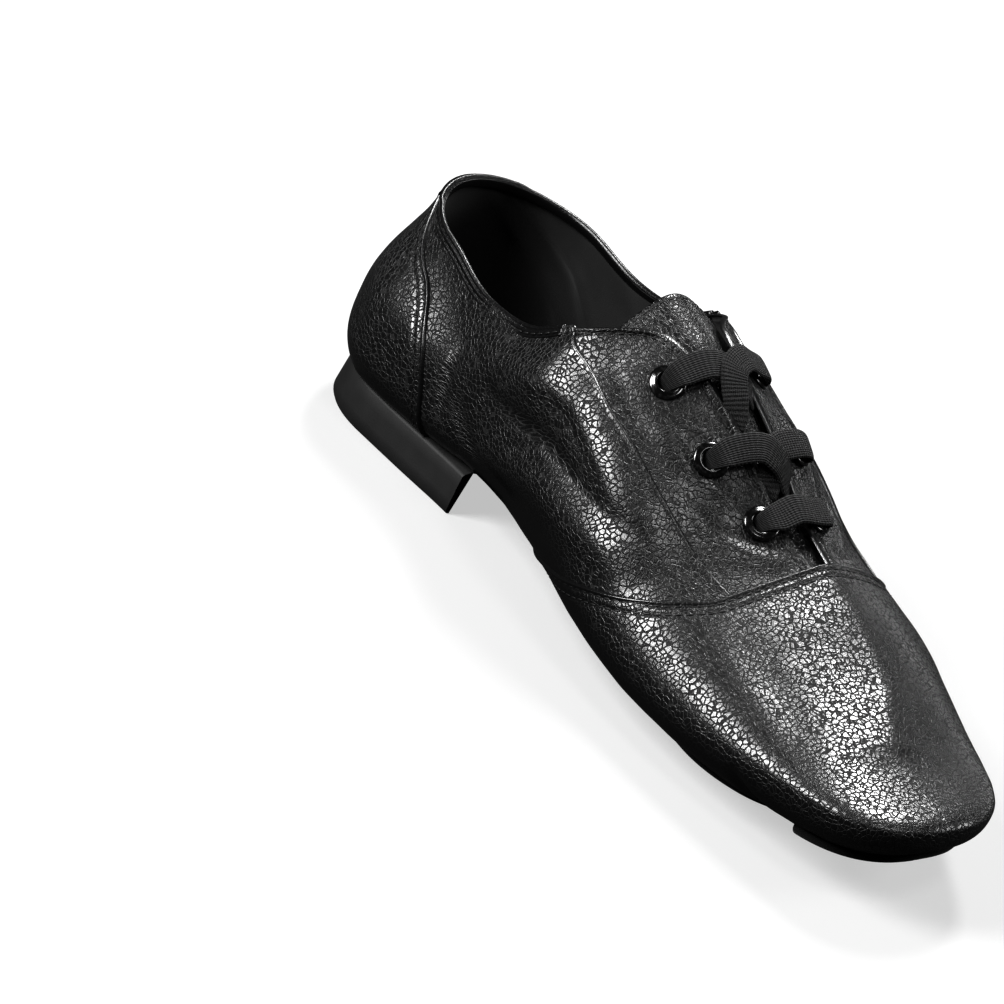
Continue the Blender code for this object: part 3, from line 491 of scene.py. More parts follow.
pebble_top = ramp(grain, pebble.outputs["Distance"], 0.008, 0.14)
fine_top = ramp(grain, fine.outputs["Distance"], 0.0, 0.16)
lie = add_node(grain, "ShaderNodeMapping", Vector=place.outputs["UV"])
lie.inputs["Rotation"].default_value = (0, 0, math.radians(28))
lie.inputs["Scale"].default_value = (300, 1150, 1)
lie_wander = add_node(grain, "ShaderNodeTexNoise", Vector=place.outputs["Object"], Scale=160.0, Detail=2.0)
lie_moved = add_node(grain, "ShaderNodeVectorMath", {"operation": "MULTIPLY_ADD"}, i0=lie_wander.outputs["Color"],
                     i1=(2.5, 2.5, 0), i2=lie.outputs[0])
streak = add_node(grain, "ShaderNodeTexVoronoi", {"feature": "DISTANCE_TO_EDGE", "voronoi_dimensions": "2D"},
                  Vector=lie_moved.outputs[0], Scale=1.0)
streak_top = ramp(grain, streak.outputs["Distance"], 0.0, 0.2)
top = mixed(grain, 0.10, pebble_top, fine_top)
top = mixed(grain, grain_in.outputs["Streaks"], top, streak_top)
waves = sum_of(grain, noise_of(grain, place, 240.0, 2.0), 0.5, "MULTIPLY")
pressed_in = sum_of(grain, top, grain_in.outputs["Depth"], "MULTIPLY")
grain.links.new(sum_of(grain, pressed_in, waves), grain_out.inputs["Height"])
# How deep each valley is: it makes the leather rougher there and darkens its colour as painted shade
valley = sum_of(grain, sum_of(grain, 1.0, top, "SUBTRACT"), grain_in.outputs["Depth"], "MULTIPLY")
grain.links.new(valley, grain_out.inputs["Valleys"])


GRAIN_DEPTH, VALLEY_ROUGHNESS = 0.00013, 0.9


def leather_material(name, pebbles=700.0, roughness=0.28, gloss=0.75):
    """Black coated leather: glossy on the pebbles' tops, duller and painted darker, as shade, in the valleys between
    them.
    """
    material, tree, shader, _ = new_material(name)
    streaks = add_node(tree, "ShaderNodeAttribute", {"attribute_name": "streaks"}).outputs["Fac"]
    depth = add_node(tree, "ShaderNodeAttribute", {"attribute_name": "grain"}).outputs["Fac"]
    pressed = tree.nodes.new("ShaderNodeGroup")
    pressed.node_tree = grain
    pressed.inputs["Pebbles per metre"].default_value = pebbles
    tree.links.new(streaks, pressed.inputs["Streaks"])
    tree.links.new(depth, pressed.inputs["Depth"])
    bumped(tree, shader, pressed.outputs["Height"], GRAIN_DEPTH, 1.0)
    # Painted shade: the base colour darkens from 0.0045 on the pebbles' tops to 0.0008 in the valleys between them
    two_tone(tree, shader, pressed.outputs["Valleys"], 0.0045, 0.0008, 1.04)
    rough = mixed(tree, pressed.outputs["Valleys"], roughness, VALLEY_ROUGHNESS)
    tree.links.new(rough, shader.inputs["Roughness"])
    shader.inputs["Specular IOR Level"].default_value = gloss
    return material


leather = leather_material("pebbled leather")

# The stitch rows: black thread that holds each panel to the one under it. Their places are worked out
# before the leather is laid, because each row pulls a shallow groove into it.
STITCH_PITCH, STITCH_LENGTH, STITCH_WIDTH, STITCH_HEIGHT = 0.0027, 0.0021, 0.00052, 0.00036
GROOVES = []


def inset(side, along, height, distance, ahead=1):
    """The places of a line moved over the leather, square to itself, towards the toe or up the section."""
    points, normal, to_toe, rising = last_frames(side, along, height)
    tangent = np.gradient(points, axis=0)
    square = unit(np.cross(normal, tangent))
    square *= np.sign((square * to_toe).sum(1) * ahead)[:, None]
    a, b, c = (to_toe * to_toe).sum(1), (to_toe * rising).sum(1), (rising * rising).sum(1)
    p, q = (to_toe * square).sum(1) * distance, (rising * square).sum(1) * distance
    return along + (c * p - b * q) / (a * c - b * b), height + (a * q - b * p) / (a * c - b * b)


def stitch_line(side, along, height, lift):
    """A row for stitches on the leather: its points and the leather's normals there. It grooves the leather."""
    points, normal, _, _ = last_frames(side, along, height)
    GROOVES.append((points, 0.55, -0.28))
    return points, normal, lift


def seam_rows(side, seam, heights, distances, lift, ahead=1):
    along = seam(np.clip(heights, 0, 1))
    return [stitch_line(side, *inset(side, along, heights, distance, ahead), lift) for distance in distances]


COUNTER_STITCHES, VAMP_STITCHES, FACING_STITCHES, UNDER_STITCHES = (0.0016, 0.0036), (0.0017, 0.0041), 0.972, 0.045
side_heights = np.linspace(0.13, 0.995, 60)
counter_rows = [
    row for side in (MEDIAL, LATERAL)
    for row in seam_rows(np.full(60, side), counter_at, side_heights, COUNTER_STITCHES, COUNTER_LIFT, -1)]
low = np.concatenate([np.linspace(0.015, 1, 90)[:-1], np.linspace(1, 2, 8)])
across_sides = np.concatenate([np.full(len(low), MEDIAL), np.full(len(low) - 1, LATERAL)])
across_heights = np.concatenate([low, low[-2::-1]])
vamp_rows = seam_rows(across_sides, vamp_at, across_heights, VAMP_STITCHES, VAMP_LIFT)

facing_along = np.linspace(0.335, 0.655, 60)
facing_rows = [stitch_line(np.full(60, side), facing_along, np.full(60, FACING_STITCHES), FACING_LIFT)
               for side in (MEDIAL, LATERAL)]
under_along = np.linspace(0.292, 0.535, 50)
centre_seam = on_last(MEDIAL, under_along, np.zeros(50))
GROOVES += [(centre_seam, 2.6, 0.8), (centre_seam, 0.8, -1.3)]
under_rows = [stitch_line(np.full(50, side), under_along, np.full(50, UNDER_STITCHES), QUARTER_LIFT)
              for side in (MEDIAL, LATERAL)]

# The counter: one piece of the same leather that wraps the heel's back from one quarter to the other.
# Its front edges are folded under and sewn over the quarters with two rows.
shares = close_rows(0.110, True, True)
heights = np.concatenate([np.linspace(0.0, 0.12, 8)[:-1], np.linspace(0.12, 1, 84)])
turned = (2 * shares[:, None] - 1) * counter_at(heights)[None]
edge = -from_seam(counter_at, np.abs(turned), heights[None])
counter = lay_sheet("counter", MEDIAL, turned, heights[None], rounded_edge(edge, COUNTER_LOW, COUNTER_LIFT),
                    from_edge=edge)
finish_piece(weld(counter), leather, "black_leather", "upper")

# The vamp: one piece of the same leather that wraps the toes from side to side and closes under the foot.
# Its back edge is folded under and sewn over the quarters and the facings with two rows.
low = np.concatenate([np.linspace(0, 1, 120)[:-1], np.linspace(1, 2, 12)])
sides = np.concatenate([np.full(len(low), MEDIAL), np.full(len(low) - 1, LATERAL)])
heights = np.concatenate([low, low[-2::-1]])
shares = close_rows(0.110, True, coarse=0.0007)
along = blend(vamp_at(heights)[None], 1.0, shares[:, None])
edge = from_seam(vamp_at, along, np.clip(heights, 0.011, 0.989)[None])
vamp = lay_sheet("vamp", sides[None], along, heights[None], rounded_edge(edge, VAMP_LOW, VAMP_LIFT),
                 from_edge=edge)
finish_piece(weld(vamp), leather, "black_leather", "upper")

# The quarters and the facings, one of each a side. A quarter runs from under the counter to under the vamp,
# and the facing, with the three eyelet holes punched through it, is sewn under its upper front edge.
TUCK, FACING_ROUND, FACING_CUT, LINING_CUT = 0.016, 0.0011, 0.0034, 0.0040


def facing_path(count):
    shares, heights = even_path(FACING_SEAM, count).T
    return blend(counter_at(heights), vamp_at(heights), shares), heights


def patch(bottom, top, left, right, s, t):
    """The smooth fill between four border curves."""
    s, t = s[:, None, None], t[None, :, None]
    across = (1 - t) * bottom[:, None] + t * top[:, None]
    upward = (1 - s) * left[None] + s * right[None]
    corners = (1 - s) * ((1 - t) * left[0] + t * left[-1]) + s * ((1 - t) * right[0] + t * right[-1])
    return across + upward - corners


def cut_holes(piece, side, radius):
    """Takes out the leather inside each eyelet, as a punch does."""
    centres = [Vector(on_last(side, along, height)) for along, height in EYELETS]
    build = bmesh.new()
    build.from_mesh(piece.data)
    inside = [face for face in build.faces if min((face.calc_center_median() - c).length for c in centres) < radius]
    bmesh.ops.delete(build, geom=inside, context="FACES")
    build.to_mesh(piece.data)
    build.free()
    return piece


for side, side_name in ((MEDIAL, "medial"), (LATERAL, "lateral")):
    scale = np.array([LENGTH, 0.075])
    up = close_rows(0.085, True, True)
    left = np.stack([counter_at(up) - TUCK, up], 1)
    seam_along, seam_height = facing_path(80)
    rim = np.stack([np.linspace(left[-1, 0], seam_along[0], 60)[:-1], np.ones(59)], 1)
    top_line = np.vstack([rim, np.stack([seam_along, seam_height], 1), [[seam_along[-1] + TUCK, seam_height[-1]]]])
    right_heights = up * seam_height[-1]
    right = np.stack([vamp_at(right_heights) + TUCK, right_heights], 1)
    run = run_of(top_line * scale)
    across = np.linspace(0, 1, 190)
    top_curve = np.stack([np.interp(across, run / run[-1], top_line[:, k]) for k in (0, 1)], 1)
    bottom = np.stack([blend(left[0, 0], right[0, 0], across), 0 * across], 1)
    places = patch(bottom, top_curve, left, right, across, up)
    along, height = places[..., 0], np.clip(places[..., 1], 0, 1)
    far, _ = beside(on_last(side, along, height), on_last(side, seam_along, seam_height))
    lift = rounded_edge(far, QUARTER_LOW, QUARTER_LIFT)
    quarter = lay_sheet(f"quarter_{side_name}", side, along, height, lift, from_edge=far)
    finish_piece(quarter, leather, "black_leather", "upper")

    shares = close_rows(0.085, coarse=0.0006)
    heights = blend(0.69, 1.0, close_rows(0.026, False, True, coarse=0.0006))
    along = blend(counter_at(heights)[None], vamp_at(heights)[None] + TUCK, blend(0.43, 1.0, shares)[:, None])
    below_edge = (1 - heights[None]) * SECTION_RUN
    lift = rounded_edge(below_edge, FACING_LOW, FACING_LIFT, FACING_ROUND)
    facing = lay_sheet(f"facing_{side_name}", side, along, heights[None], lift, from_edge=below_edge)
    finish_piece(cut_holes(facing, side, FACING_CUT), leather, "black_leather", "upper")

# The lining: a soft black knit glued inside the leather. It lies one wall's thickness further in, hangs in
# soft folds, and rolls up to meet the leather at every top edge.
lining_knit, tree, shader, place = new_material("lining knit", 0.8, 0.15)
knit = add_node(tree, "ShaderNodeTexVoronoi", Vector=place.outputs["Object"], Scale=2600.0)
two_tone(tree, shader, noise_of(tree, place, 300.0, 4.0), 0.002, 0.006)
bumped(tree, shader, knit.outputs["Distance"], 0.0001, 0.4)

turned = np.linspace(-0.69, 0.69, 260)[:, None]
heights = blend(0.05, 1.0, close_rows(0.075, False, True))
LINING_FOLDS = (
    (LATERAL, ((0.020, 0.97), (0.070, 0.80), (0.120, 0.60), (0.150, 0.42)), 3.0, -1.1),
    (LATERAL, ((0.070, 0.97), (0.130, 0.78), (0.190, 0.56), (0.215, 0.40)), 3.6, -1.3),
    (LATERAL, ((0.180, 0.96), (0.225, 0.78), (0.260, 0.56)), 4.5, 0.8),
    (MEDIAL, ((0.060, 0.96), (0.110, 0.78), (0.150, 0.58)), 3.4, -1.0),
    (MEDIAL, ((0.160, 0.95), (0.210, 0.76), (0.240, 0.56)), 4.0, -0.9),
)
below_rim = (1 - heights) * SECTION_RUN
deep = blend(FACING_LOW, -WALL, np.clip((below_rim - 0.004) / 0.012, 0, 1))
lift = rounded_edge(below_rim, FACING_LOW, deep, FACING_ROUND)[None]
lift = lift + folds_at(on_last(np.where(turned < 0, LATERAL, MEDIAL), np.abs(turned), heights[None]), LINING_FOLDS)
lining = lay_sheet("lining", MEDIAL, turned, heights[None], lift)
lining.data.flip_normals()
for side in (MEDIAL, LATERAL):
    cut_holes(lining, side, LINING_CUT)
finish_piece(lining, lining_knit, "insole_cloth", "upper")


def sweep(name, sections, closed=True, pebbled=0.15):
    """A strip through equal sections of points, made from a grid, with its ends capped when it is closed."""
    shares = None
    if closed:
        sections = np.concatenate([sections, sections[:, :1]], 1)
        shares = run_of(sections[:, 0])[:, None], run_of(sections[len(sections) // 2])[None]
    piece = grid_of(name, sections, shares)
    write_values(piece, "grain", np.full(sections.shape[:2], pebbled))
    if closed:
        weld(piece, 1e-6, cap=True)
    return piece


# The collar binding: a narrow strip of smoother leather, rolled over the rim from one facing round the heel
# to the other and stitched down with one row.
edge_leather = leather_material("binding leather", 900.0, 0.30, 0.5)
BINDING_PROFILE = (
    (0.05, -3.2), (0.38, -3.15), (0.58, -2.85), (0.52, -2.4), (0.34, -2.1), (0.46, -1.7), (0.60, -1.30),
    (0.50, -0.95), (0.16, -0.68), (0.40, -0.4), (0.42, 0.0), (0.16, 0.38), (-0.30, 0.52), (-0.80, 0.36),
    (-1.15, 0.0), (-1.35, -0.6), (-1.42, -1.4), (-1.35, -2.1), (-1.2, -2.35), (-1.0, -2.2),
)
BINDING_ROW = (0.0005, -0.0020)
rim_along = np.linspace(-0.329, 0.329, 240)
rim_points, rim_normal, _, _ = last_frames(MEDIAL, rim_along, np.ones(240))
for _ in range(60):
    for line in (rim_points, rim_normal):
        line[1:-1] = (line[:-2] + 2 * line[1:-1] + line[2:]) / 4
rim_normal = unit(rim_normal)
rim_up = np.cross(rim_normal, np.gradient(rim_points, axis=0))
rim_up *= np.sign(rim_up[:, 2:]) / np.linalg.norm(rim_up, axis=1)[:, None]
profile = even_path(BINDING_PROFILE, 40) / 1000
counter_share = np.clip((0.062 - np.abs(rim_along)) / 0.008, 0, 1)
outward = profile[None, :, 0] + np.where(profile[:, 0] > -0.001, 1, 0) * COUNTER_LIFT * counter_share[:, None]
sections = rim_points[:, None] + rim_normal[:, None] * outward[..., None]
sections = sections + rim_up[:, None] * profile[None, :, 1, None]
binding = sweep("binding", sections)
finish_piece(binding, edge_leather, "edge_leather", "collar_binding")

# The tongue: one soft thickness of the same leather under both facings, its foot caught under the vamp.
# It stands free above the facings, with its top edge turned and stitched.
TONGUE_FOOT, TONGUE_BEND, TONGUE_RISE, TONGUE_ROOM = 0.675, 0.410, 0.0115, 0.0007
tongue_rows = []
for along in np.linspace(TONGUE_FOOT, TONGUE_BEND, 22):
    low = 0.815 if along < EYELETS[-1][0] else 0.88
    heights = np.concatenate([np.linspace(low, 1, 9), np.linspace(1, 2, 6)[1:]])
    half = [last_frames(side, np.full(len(heights), along), heights)[:2] for side in (MEDIAL, LATERAL)]
    half = [points - normal * (WALL + TONGUE_ROOM) for points, normal in half]
    tongue_rows.append(np.vstack([half[0], half[1][-2::-1]]))
line, crown = tongue_rows[-1], len(tongue_rows[-1]) // 2
rising = line[crown] - tongue_rows[-4][crown]
rising /= np.linalg.norm(rising)
for share in np.linspace(0.1, 1.0, 10):
    corner = max(0, share - 0.85) / 0.15
    spread = (line - line[crown]) * (1 - 0.12 * share - 0.13 * corner**2)
    tongue_rows.append(line[crown] + spread + rising * TONGUE_RISE * share)
tongue_rows = np.array(tongue_rows)
tongue = sweep("tongue", tongue_rows, closed=False, pebbled=0.8)
tongue.data.flip_normals()
thick = tongue.modifiers.new("leather", "SOLIDIFY")
thick.thickness, thick.offset = 0.0016, -1
round_edges = tongue.modifiers.new("turned edge", "SUBSURF")
round_edges.levels = round_edges.render_levels = 1
bpy.ops.object.modifier_apply(modifier=thick.name)
bpy.ops.object.modifier_apply(modifier=round_edges.name)
finish_piece(tongue, leather, "black_leather", "tongue")

# The heel: one moulded block of matt black rubber, glued under the counter. Its top is cupped to the leather,
# its foot is flat, and its front runs straight across the shoe.
HEEL_RIM, HEEL_INSET, HEEL_FRONT = 0.0118, 0.001, 0.283
heel_rubber, tree, shader, place = new_material("moulded rubber", 0.62)
two_tone(tree, shader, ramp(tree, noise_of(tree, place, 90.0, 5.0), 0.35, 0.7), 0.013, 0.019)
bumped(tree, shader, noise_of(tree, place, 2400.0, 3.0), 0.00005, 0.5)

around = np.concatenate([np.linspace(-HEEL_FRONT, -HEEL_AXIS, 30)[:-1], np.linspace(-HEEL_AXIS, HEEL_AXIS, 90),
                         np.linspace(HEEL_AXIS, HEEL_FRONT, 30)[1:]])
levels = np.linspace(0.0, 0.6, 90)
swing = on_last(MEDIAL, around[:, None], levels[None])
centre = swing[:, :1]
reach = np.linalg.norm((swing - centre)[..., :2], axis=2)
widest = swing[np.arange(len(around)), reach.argmax(1)]
away = unit((widest - centre[:, 0]) * (1, 1, 0))
full = reach.max(1) - HEEL_INSET


def leather_reach(level):
    """How far the leather stands from the heel's centre line, at a level above the floor."""
    return np.array([np.interp(level, z[:45], far[:45]) for z, far in zip(swing[..., 2], reach)]) + COUNTER_LIFT


at_rim = blend(full, leather_reach(HEEL_RIM), 0.2)
HEEL_SIDE = ((-0.0014, 0.0, 0.0), (-0.0005, 0.0002, 0.0), (0.0, 0.0009, 0.05), (0.0, 0.004, 0.30), (0.0, 0.008, 0.63),
             (0.0, 0.0110, 0.93), (-0.0002, 0.0115, 0.98), (-0.0008, HEEL_RIM, 1.0))
rings = []
for out, z, share in HEEL_SIDE:
    rings.append((blend(full, at_rim, share) + out, z))
rings.append((blend(at_rim, leather_reach(HEEL_RIM + 0.0022), 0.6), HEEL_RIM + 0.0008))
rings.append((leather_reach(HEEL_RIM + 0.0024) + 0.0001, HEEL_RIM + 0.0024))
rings = [np.column_stack([(centre[:, 0] + away * far[:, None])[:, :2], np.full(len(far), z)]) for far, z in rings]
cup_reach = np.array([np.interp(0.80 * r.max(), r[: r.argmax() + 1], levels[: r.argmax() + 1]) for r in reach])
for share in (1.0, 0.7, 0.35, 0.0):
    points, normal, _, _ = last_frames(MEDIAL, around, cup_reach * share)
    rings.append(points + normal * (COUNTER_LIFT + 0.0003))
sections = np.array(rings).transpose(1, 0, 2)
heel = weld(sweep("heel_block", sections, closed=False), 1e-6, cap=True)
finish_piece(heel, heel_rubber, "heel_rubber", "heel")
heel.data.set_sharp_from_angle(angle=math.radians(40))

# The insole: a thin soft pad covered in black cloth. It is cut a little narrower than the shoe's inside and
# lies loose on the lining from heel to toe.
def reach_height(side, along, share):
    """The height at which the underside has come out to a share of its half width."""
    levels = np.linspace(0, 0.7, 60)
    places = on_last(side, np.asarray(along)[:, None], levels[None])
    reach = np.linalg.norm((places - places[:, :1])[..., :2], axis=2)
    return np.array([np.interp(share * r.max(), r[: r.argmax() + 1], levels[: r.argmax() + 1]) for r in reach])


INSOLE_SHARE = 0.81
along = np.linspace(0.004, 0.996, 130)
shares = close_rows(0.035, False, True)
border = [reach_height(side, along, INSOLE_SHARE) for side in (MEDIAL, LATERAL)]
heights = np.hstack([border[0][:, None] * shares[::-1], border[1][:, None] * shares[1:]])
sides = np.concatenate([np.full(len(shares), MEDIAL), np.full(len(shares) - 1, LATERAL)])
inward = np.concatenate([shares[::-1], shares[1:]])
lift = rounded_edge((1 - inward) * 0.034, -WALL - 0.0009, -WALL - 0.0031, 0.0014)[None]
insole = lay_sheet("insole_pad", sides[None], along[:, None], heights, lift, with_relief=False)
weld(insole, 0.0002)
insole.data.flip_normals()
thick = insole.modifiers.new("felt", "SOLIDIFY")
thick.thickness, thick.offset = 0.0010, -1
bpy.ops.object.modifier_apply(modifier=thick.name)
finish_piece(insole, lining_knit, "insole_cloth", "insole")

# The pads: black suede with a short nap, cut to an egg under the ball and to a D under the toes. Each lies
# flat on the leather and is sewn on round its edge with two rows.
suede, tree, shader, place = new_material("suede", 0.95, 0.1)
two_tone(tree, shader, ramp(tree, noise_of(tree, place, 60.0, 5.0), 0.3, 0.75), 0.006, 0.013)
bumped(tree, shader, noise_of(tree, place, 1900.0, 4.0), 0.00018, 0.7)
shader.inputs["Specular IOR Level"].default_value = 0.2

under_along = np.concatenate([np.linspace(0.26, 0.88, 160), np.linspace(0.88, 1.0, 60)[1:]])
under_heights = np.linspace(0, 0.5, 90)
under_places = [last_frames(side, under_along[:, None], under_heights[None])[:2] for side in (MEDIAL, LATERAL)]
under_points = np.concatenate([points.reshape(-1, 3) for points, _ in under_places])
under_normals = np.concatenate([normal.reshape(-1, 3) for _, normal in under_places])
under_tree = KDTree(len(under_points))
for i, (x, y, _) in enumerate(under_points):
    under_tree.insert((x, y, 0), i)
under_tree.balance()


def under_at(flat):
    """The last's underside and its normals over (x, y) places."""
    near = np.array([under_tree.find((x, y, 0))[1] for x, y in flat])
    points, normal = under_points[near], under_normals[near]
    step = flat - points[:, :2]
    level = points[:, 2] - (normal[:, :2] * step).sum(1) / np.minimum(normal[:, 2], -0.25)
    return np.column_stack([flat, level]), normal


def inside_outline(outline, distance):
    """A closed outline moved inwards."""
    ahead = np.roll(outline, -1, 0) - np.roll(outline, 1, 0)
    square = np.stack([-ahead[:, 1], ahead[:, 0]], 1) / np.linalg.norm(ahead, axis=1)[:, None]
    toward = np.sign(((outline.mean(0) - outline) * square).sum())
    return outline + square * toward * distance


PAD_ROOM, PAD_STITCHES = 0.0005, (0.0012, 0.0036)


def suede_pad(name, outline, thickness, node):
    """A closed pad of this outline under the foot, and the rows that its stitches follow."""
    shares = close_rows(0.034, False, True, fine=0.00025, coarse=0.0016, close=0.010)
    centre = outline.mean(0)
    flat = centre + shares[:, None, None] * (outline - centre)[None]
    edge_line = np.column_stack([np.vstack([outline, outline[:1]]), np.zeros(len(outline) + 1)])
    far, _ = beside(np.concatenate([flat, np.zeros(flat.shape[:2] + (1,))], 2), edge_line)
    points, normal = under_at(flat.reshape(-1, 2))
    lift = VAMP_LIFT + PAD_ROOM + rounded_edge(far, -0.0007, thickness, 0.0012)
    for distance in PAD_STITCHES:
        lift = lift - 0.00035 * np.exp(-(((far - distance) / 0.0006) ** 2))
    below = points + normal * lift.reshape(-1, 1)
    below[:, 2] = (below[:, 2] + np.sqrt(below[:, 2] ** 2 + 0.0003**2)) / 2
    above = points + normal * (VAMP_LIFT + PAD_ROOM - 0.0007)
    below, above = (part.reshape(flat.shape[:2] + (3,)) for part in (below, above))
    sections = np.concatenate([below, above[::-1]], 0)
    sections = np.concatenate([sections, sections[:, :1]], 1)
    piece = sweep(name, sections.transpose(1, 0, 2), closed=False)
    weld(piece, 0.00002)
    bpy.ops.object.mode_set(mode="EDIT")
    face_outwards()
    bpy.ops.object.mode_set(mode="OBJECT")
    finish_piece(piece, suede, "pad_suede", node)
    rows = []
    for distance in PAD_STITCHES:
        line = inside_outline(outline, distance)
        line = np.vstack([line, line[:1]])
        points, normal = under_at(line)
        points = points + normal * (VAMP_LIFT + PAD_ROOM + thickness - 0.0004)
        points[:, 2] = np.maximum(points[:, 2], 0.00005)
        rows.append((points, normal, 0.0))
    return rows


turn = np.linspace(0, 2 * math.pi, 181)[:-1]
BALL_PAD_LENGTH, BALL_PAD_WIDTH, BALL_PAD_FRONT, BALL_PAD_BLUNT = 0.078, 0.063, 0.857, 0.24
ball_centre = (on_last(MEDIAL, BALL_PAD_FRONT - BALL_PAD_LENGTH / 2 / LENGTH, 0)[0],
               LENGTH * (0.5 - BALL_PAD_FRONT) + BALL_PAD_LENGTH / 2)
ball_outline = np.array(ball_centre) + np.stack([
    BALL_PAD_WIDTH / 2 * np.sin(turn) * (1 - BALL_PAD_BLUNT * np.cos(turn)), BALL_PAD_LENGTH / 2 * np.cos(turn)], 1)
pad_rows = suede_pad("ball_suede", ball_outline, 0.0021, "ball_pad")

TOE_PAD_SHARE = 0.82
fan = np.linspace(TOE_AXIS, 2 - TOE_AXIS, 90)
fan_heights = reach_height(np.full((90, 1), MEDIAL), fan, TOE_PAD_SHARE)
arc = on_last(MEDIAL, fan, fan_heights)[:, :2]
straight = blend(arc[-1], arc[0], np.linspace(0, 1, 62)[1:-1, None])
toe_outline = np.vstack([arc, straight])
for _ in range(12):
    toe_outline = (np.roll(toe_outline, 1, 0) + 2 * toe_outline + np.roll(toe_outline, -1, 0)) / 4
pad_rows += suede_pad("toe_suede", toe_outline, 0.0014, "toe_pad")

# The eyelets: six rings of black lacquered metal, three a side. Each is pressed through a facing and its
# lining and rolled over the edge of the hole.
lacquer, tree, shader, place = new_material("black lacquered metal")
rubbed = noise_of(tree, place, 900.0, 3.0)
two_tone(tree, shader, ramp(tree, rubbed, 0.45, 0.8), 0.010, 0.045)
tree.links.new(ramp(tree, rubbed, 0.3, 0.8, 0.14, 0.30), shader.inputs["Roughness"])
for key, value in (("Metallic", 0.6), ("Coat Weight", 0.6), ("Coat Roughness", 0.08)):
    shader.inputs[key].default_value = value

EYELET_PROFILE = (
    (2.40, -2.6), (2.40, -0.6), (2.42, 0.25), (2.60, 0.65), (2.95, 0.88), (3.35, 0.86), (3.65, 0.66), (4.05, 0.60),
    (4.45, 0.48), (4.80, 0.18), (4.82, -0.02), (4.60, -0.15), (3.10, -0.12), (2.90, -0.4), (2.90, -2.6),
)
bpy.ops.mesh.primitive_circle_add(vertices=len(EYELET_PROFILE), radius=0.003)
ring = bpy.context.object
ring.name = ring.data.name = "eyelet"
for vertex, (out, up) in zip(ring.data.vertices, EYELET_PROFILE):
    vertex.co = (out / 1000, 0, up / 1000)
bpy.ops.object.mode_set(mode="EDIT")
bpy.ops.mesh.select_all(action="SELECT")
bpy.ops.mesh.spin(steps=48, angle=2 * math.pi, center=(0, 0, 0), axis=(0, 0, 1))
bpy.ops.mesh.select_all(action="SELECT")
bpy.ops.mesh.remove_doubles(threshold=1e-6)
face_outwards()
bpy.ops.object.mode_set(mode="OBJECT")
eyelet_seats = {}
for side, side_name in ((MEDIAL, "medial"), (LATERAL, "lateral")):
    for (along, height), level in zip(EYELETS, ("top", "middle", "bottom")):
        there = last_frames(side, np.array([along]), np.array([height]))
        middle, normal, to_toe, rising = (vector.reshape(3) for vector in there)
        round_it = np.linspace(0, 2 * math.pi, 17)[:-1]
        ring_points, ring_normals, _, _ = last_frames(
            np.full(16, side), along + 0.0044 * np.cos(round_it) / np.linalg.norm(to_toe),
            np.minimum(height + 0.0044 * np.sin(round_it) / np.linalg.norm(rising), 1))
        standing = ring_points + ring_normals * (FACING_LIFT + relief(ring_points))[:, None]
        seat = ((standing - middle) @ normal).max() + 0.00015
        eyelet_seats[side, level] = seat
        copy = ring.copy()
        copy.data = ring.data.copy()
        copy.name = copy.data.name = f"eyelet_ring_{side_name}_{level}"
        bpy.context.collection.objects.link(copy)
        turned = Vector(normal).to_track_quat("Z", "Y").to_matrix().to_4x4()
        copy.data.transform(Matrix.Translation(Vector(middle + normal * seat)) @ turned)
        finish_piece(copy, lacquer, "eyelet_metal", f"eyelet_{side_name}_{level}")
bpy.data.objects.remove(ring)

# The lace: one flat woven cotton band, 8 mm wide, gathered at each eyelet. It crosses the throat straight
# at the bottom and in two open Vs above, one strand over the other, each diving under the far facing.
WEAVE_ALONG, WEAVE_ACROSS = 2900.0, 5200.0
cotton, tree, shader, place = new_material("woven cotton", 0.75, 0.06)
lay = tree.nodes.new("ShaderNodeSeparateXYZ")
tree.links.new(place.outputs["UV"], lay.inputs[0])
lengthways = sum_of(tree, lay.outputs[0], WEAVE_ALONG, "MULTIPLY")
slants = [sum_of(tree, sum_of(tree, lengthways, sum_of(tree, lay.outputs[1], across, "MULTIPLY")), 0.0, "SINE")
          for across in (WEAVE_ACROSS, -WEAVE_ACROSS)]
woven = sum_of(tree, sum_of(tree, *slants, "MULTIPLY"), noise_of(tree, place, 2500.0, 3.0))
# Painted shade: the base colour follows the weave's height, darker in its hollows and lighter on the threads, with
# some random tone from the noise
two_tone(tree, shader, ramp(tree, woven, -0.2, 1.3), 0.0012, 0.0115, 1.026)
bumped(tree, shader, woven, 0.00022, 1.0)

LACE_THICK = 0.0012
around_lace = np.linspace(0, 2 * math.pi, 21)[:-1]
lace_out = np.sign(np.cos(around_lace)) * np.abs(np.cos(around_lace)) ** 0.55
lace_up = np.sign(np.sin(around_lace)) * np.abs(np.sin(around_lace)) ** 0.8


def lace_strand(name, stops):
    """One strand through (side, along, height, lift, half width) stops, as a flat rounded band."""
    stops = np.array(stops, float)
    points, normal, _, _ = last_frames(stops[:, 0], stops[:, 1], stops[:, 2])
    knots = points + normal * stops[:, 3:4]
    run = run_of(knots)
    t = np.linspace(0, run[-1], 56)
    line = np.stack([smooth_through(np.stack([run, knots[:, k]], 1), t) for k in range(3)], 1)
    for _ in range(4):
        line[1:-1] = (line[:-2] + 2 * line[1:-1] + line[2:]) / 4
    up = np.stack([np.interp(t, run, normal[:, k]) for k in range(3)], 1)
    half = smooth_through(np.stack([run, stops[:, 4]], 1), t)
    tangent = unit(np.gradient(line, axis=0))
    across = unit(np.cross(tangent, up))
    up = np.cross(across, tangent)
    cupped = 0.00025 * (lace_out[None] ** 2) * (half[:, None] < 0.0036)
    sections = (line[:, None] + across[:, None] * (half[:, None] * lace_out[None])[..., None]
                + up[:, None] * (LACE_THICK / 2 * lace_up[None] + cupped)[..., None])
    return sweep(name, sections)


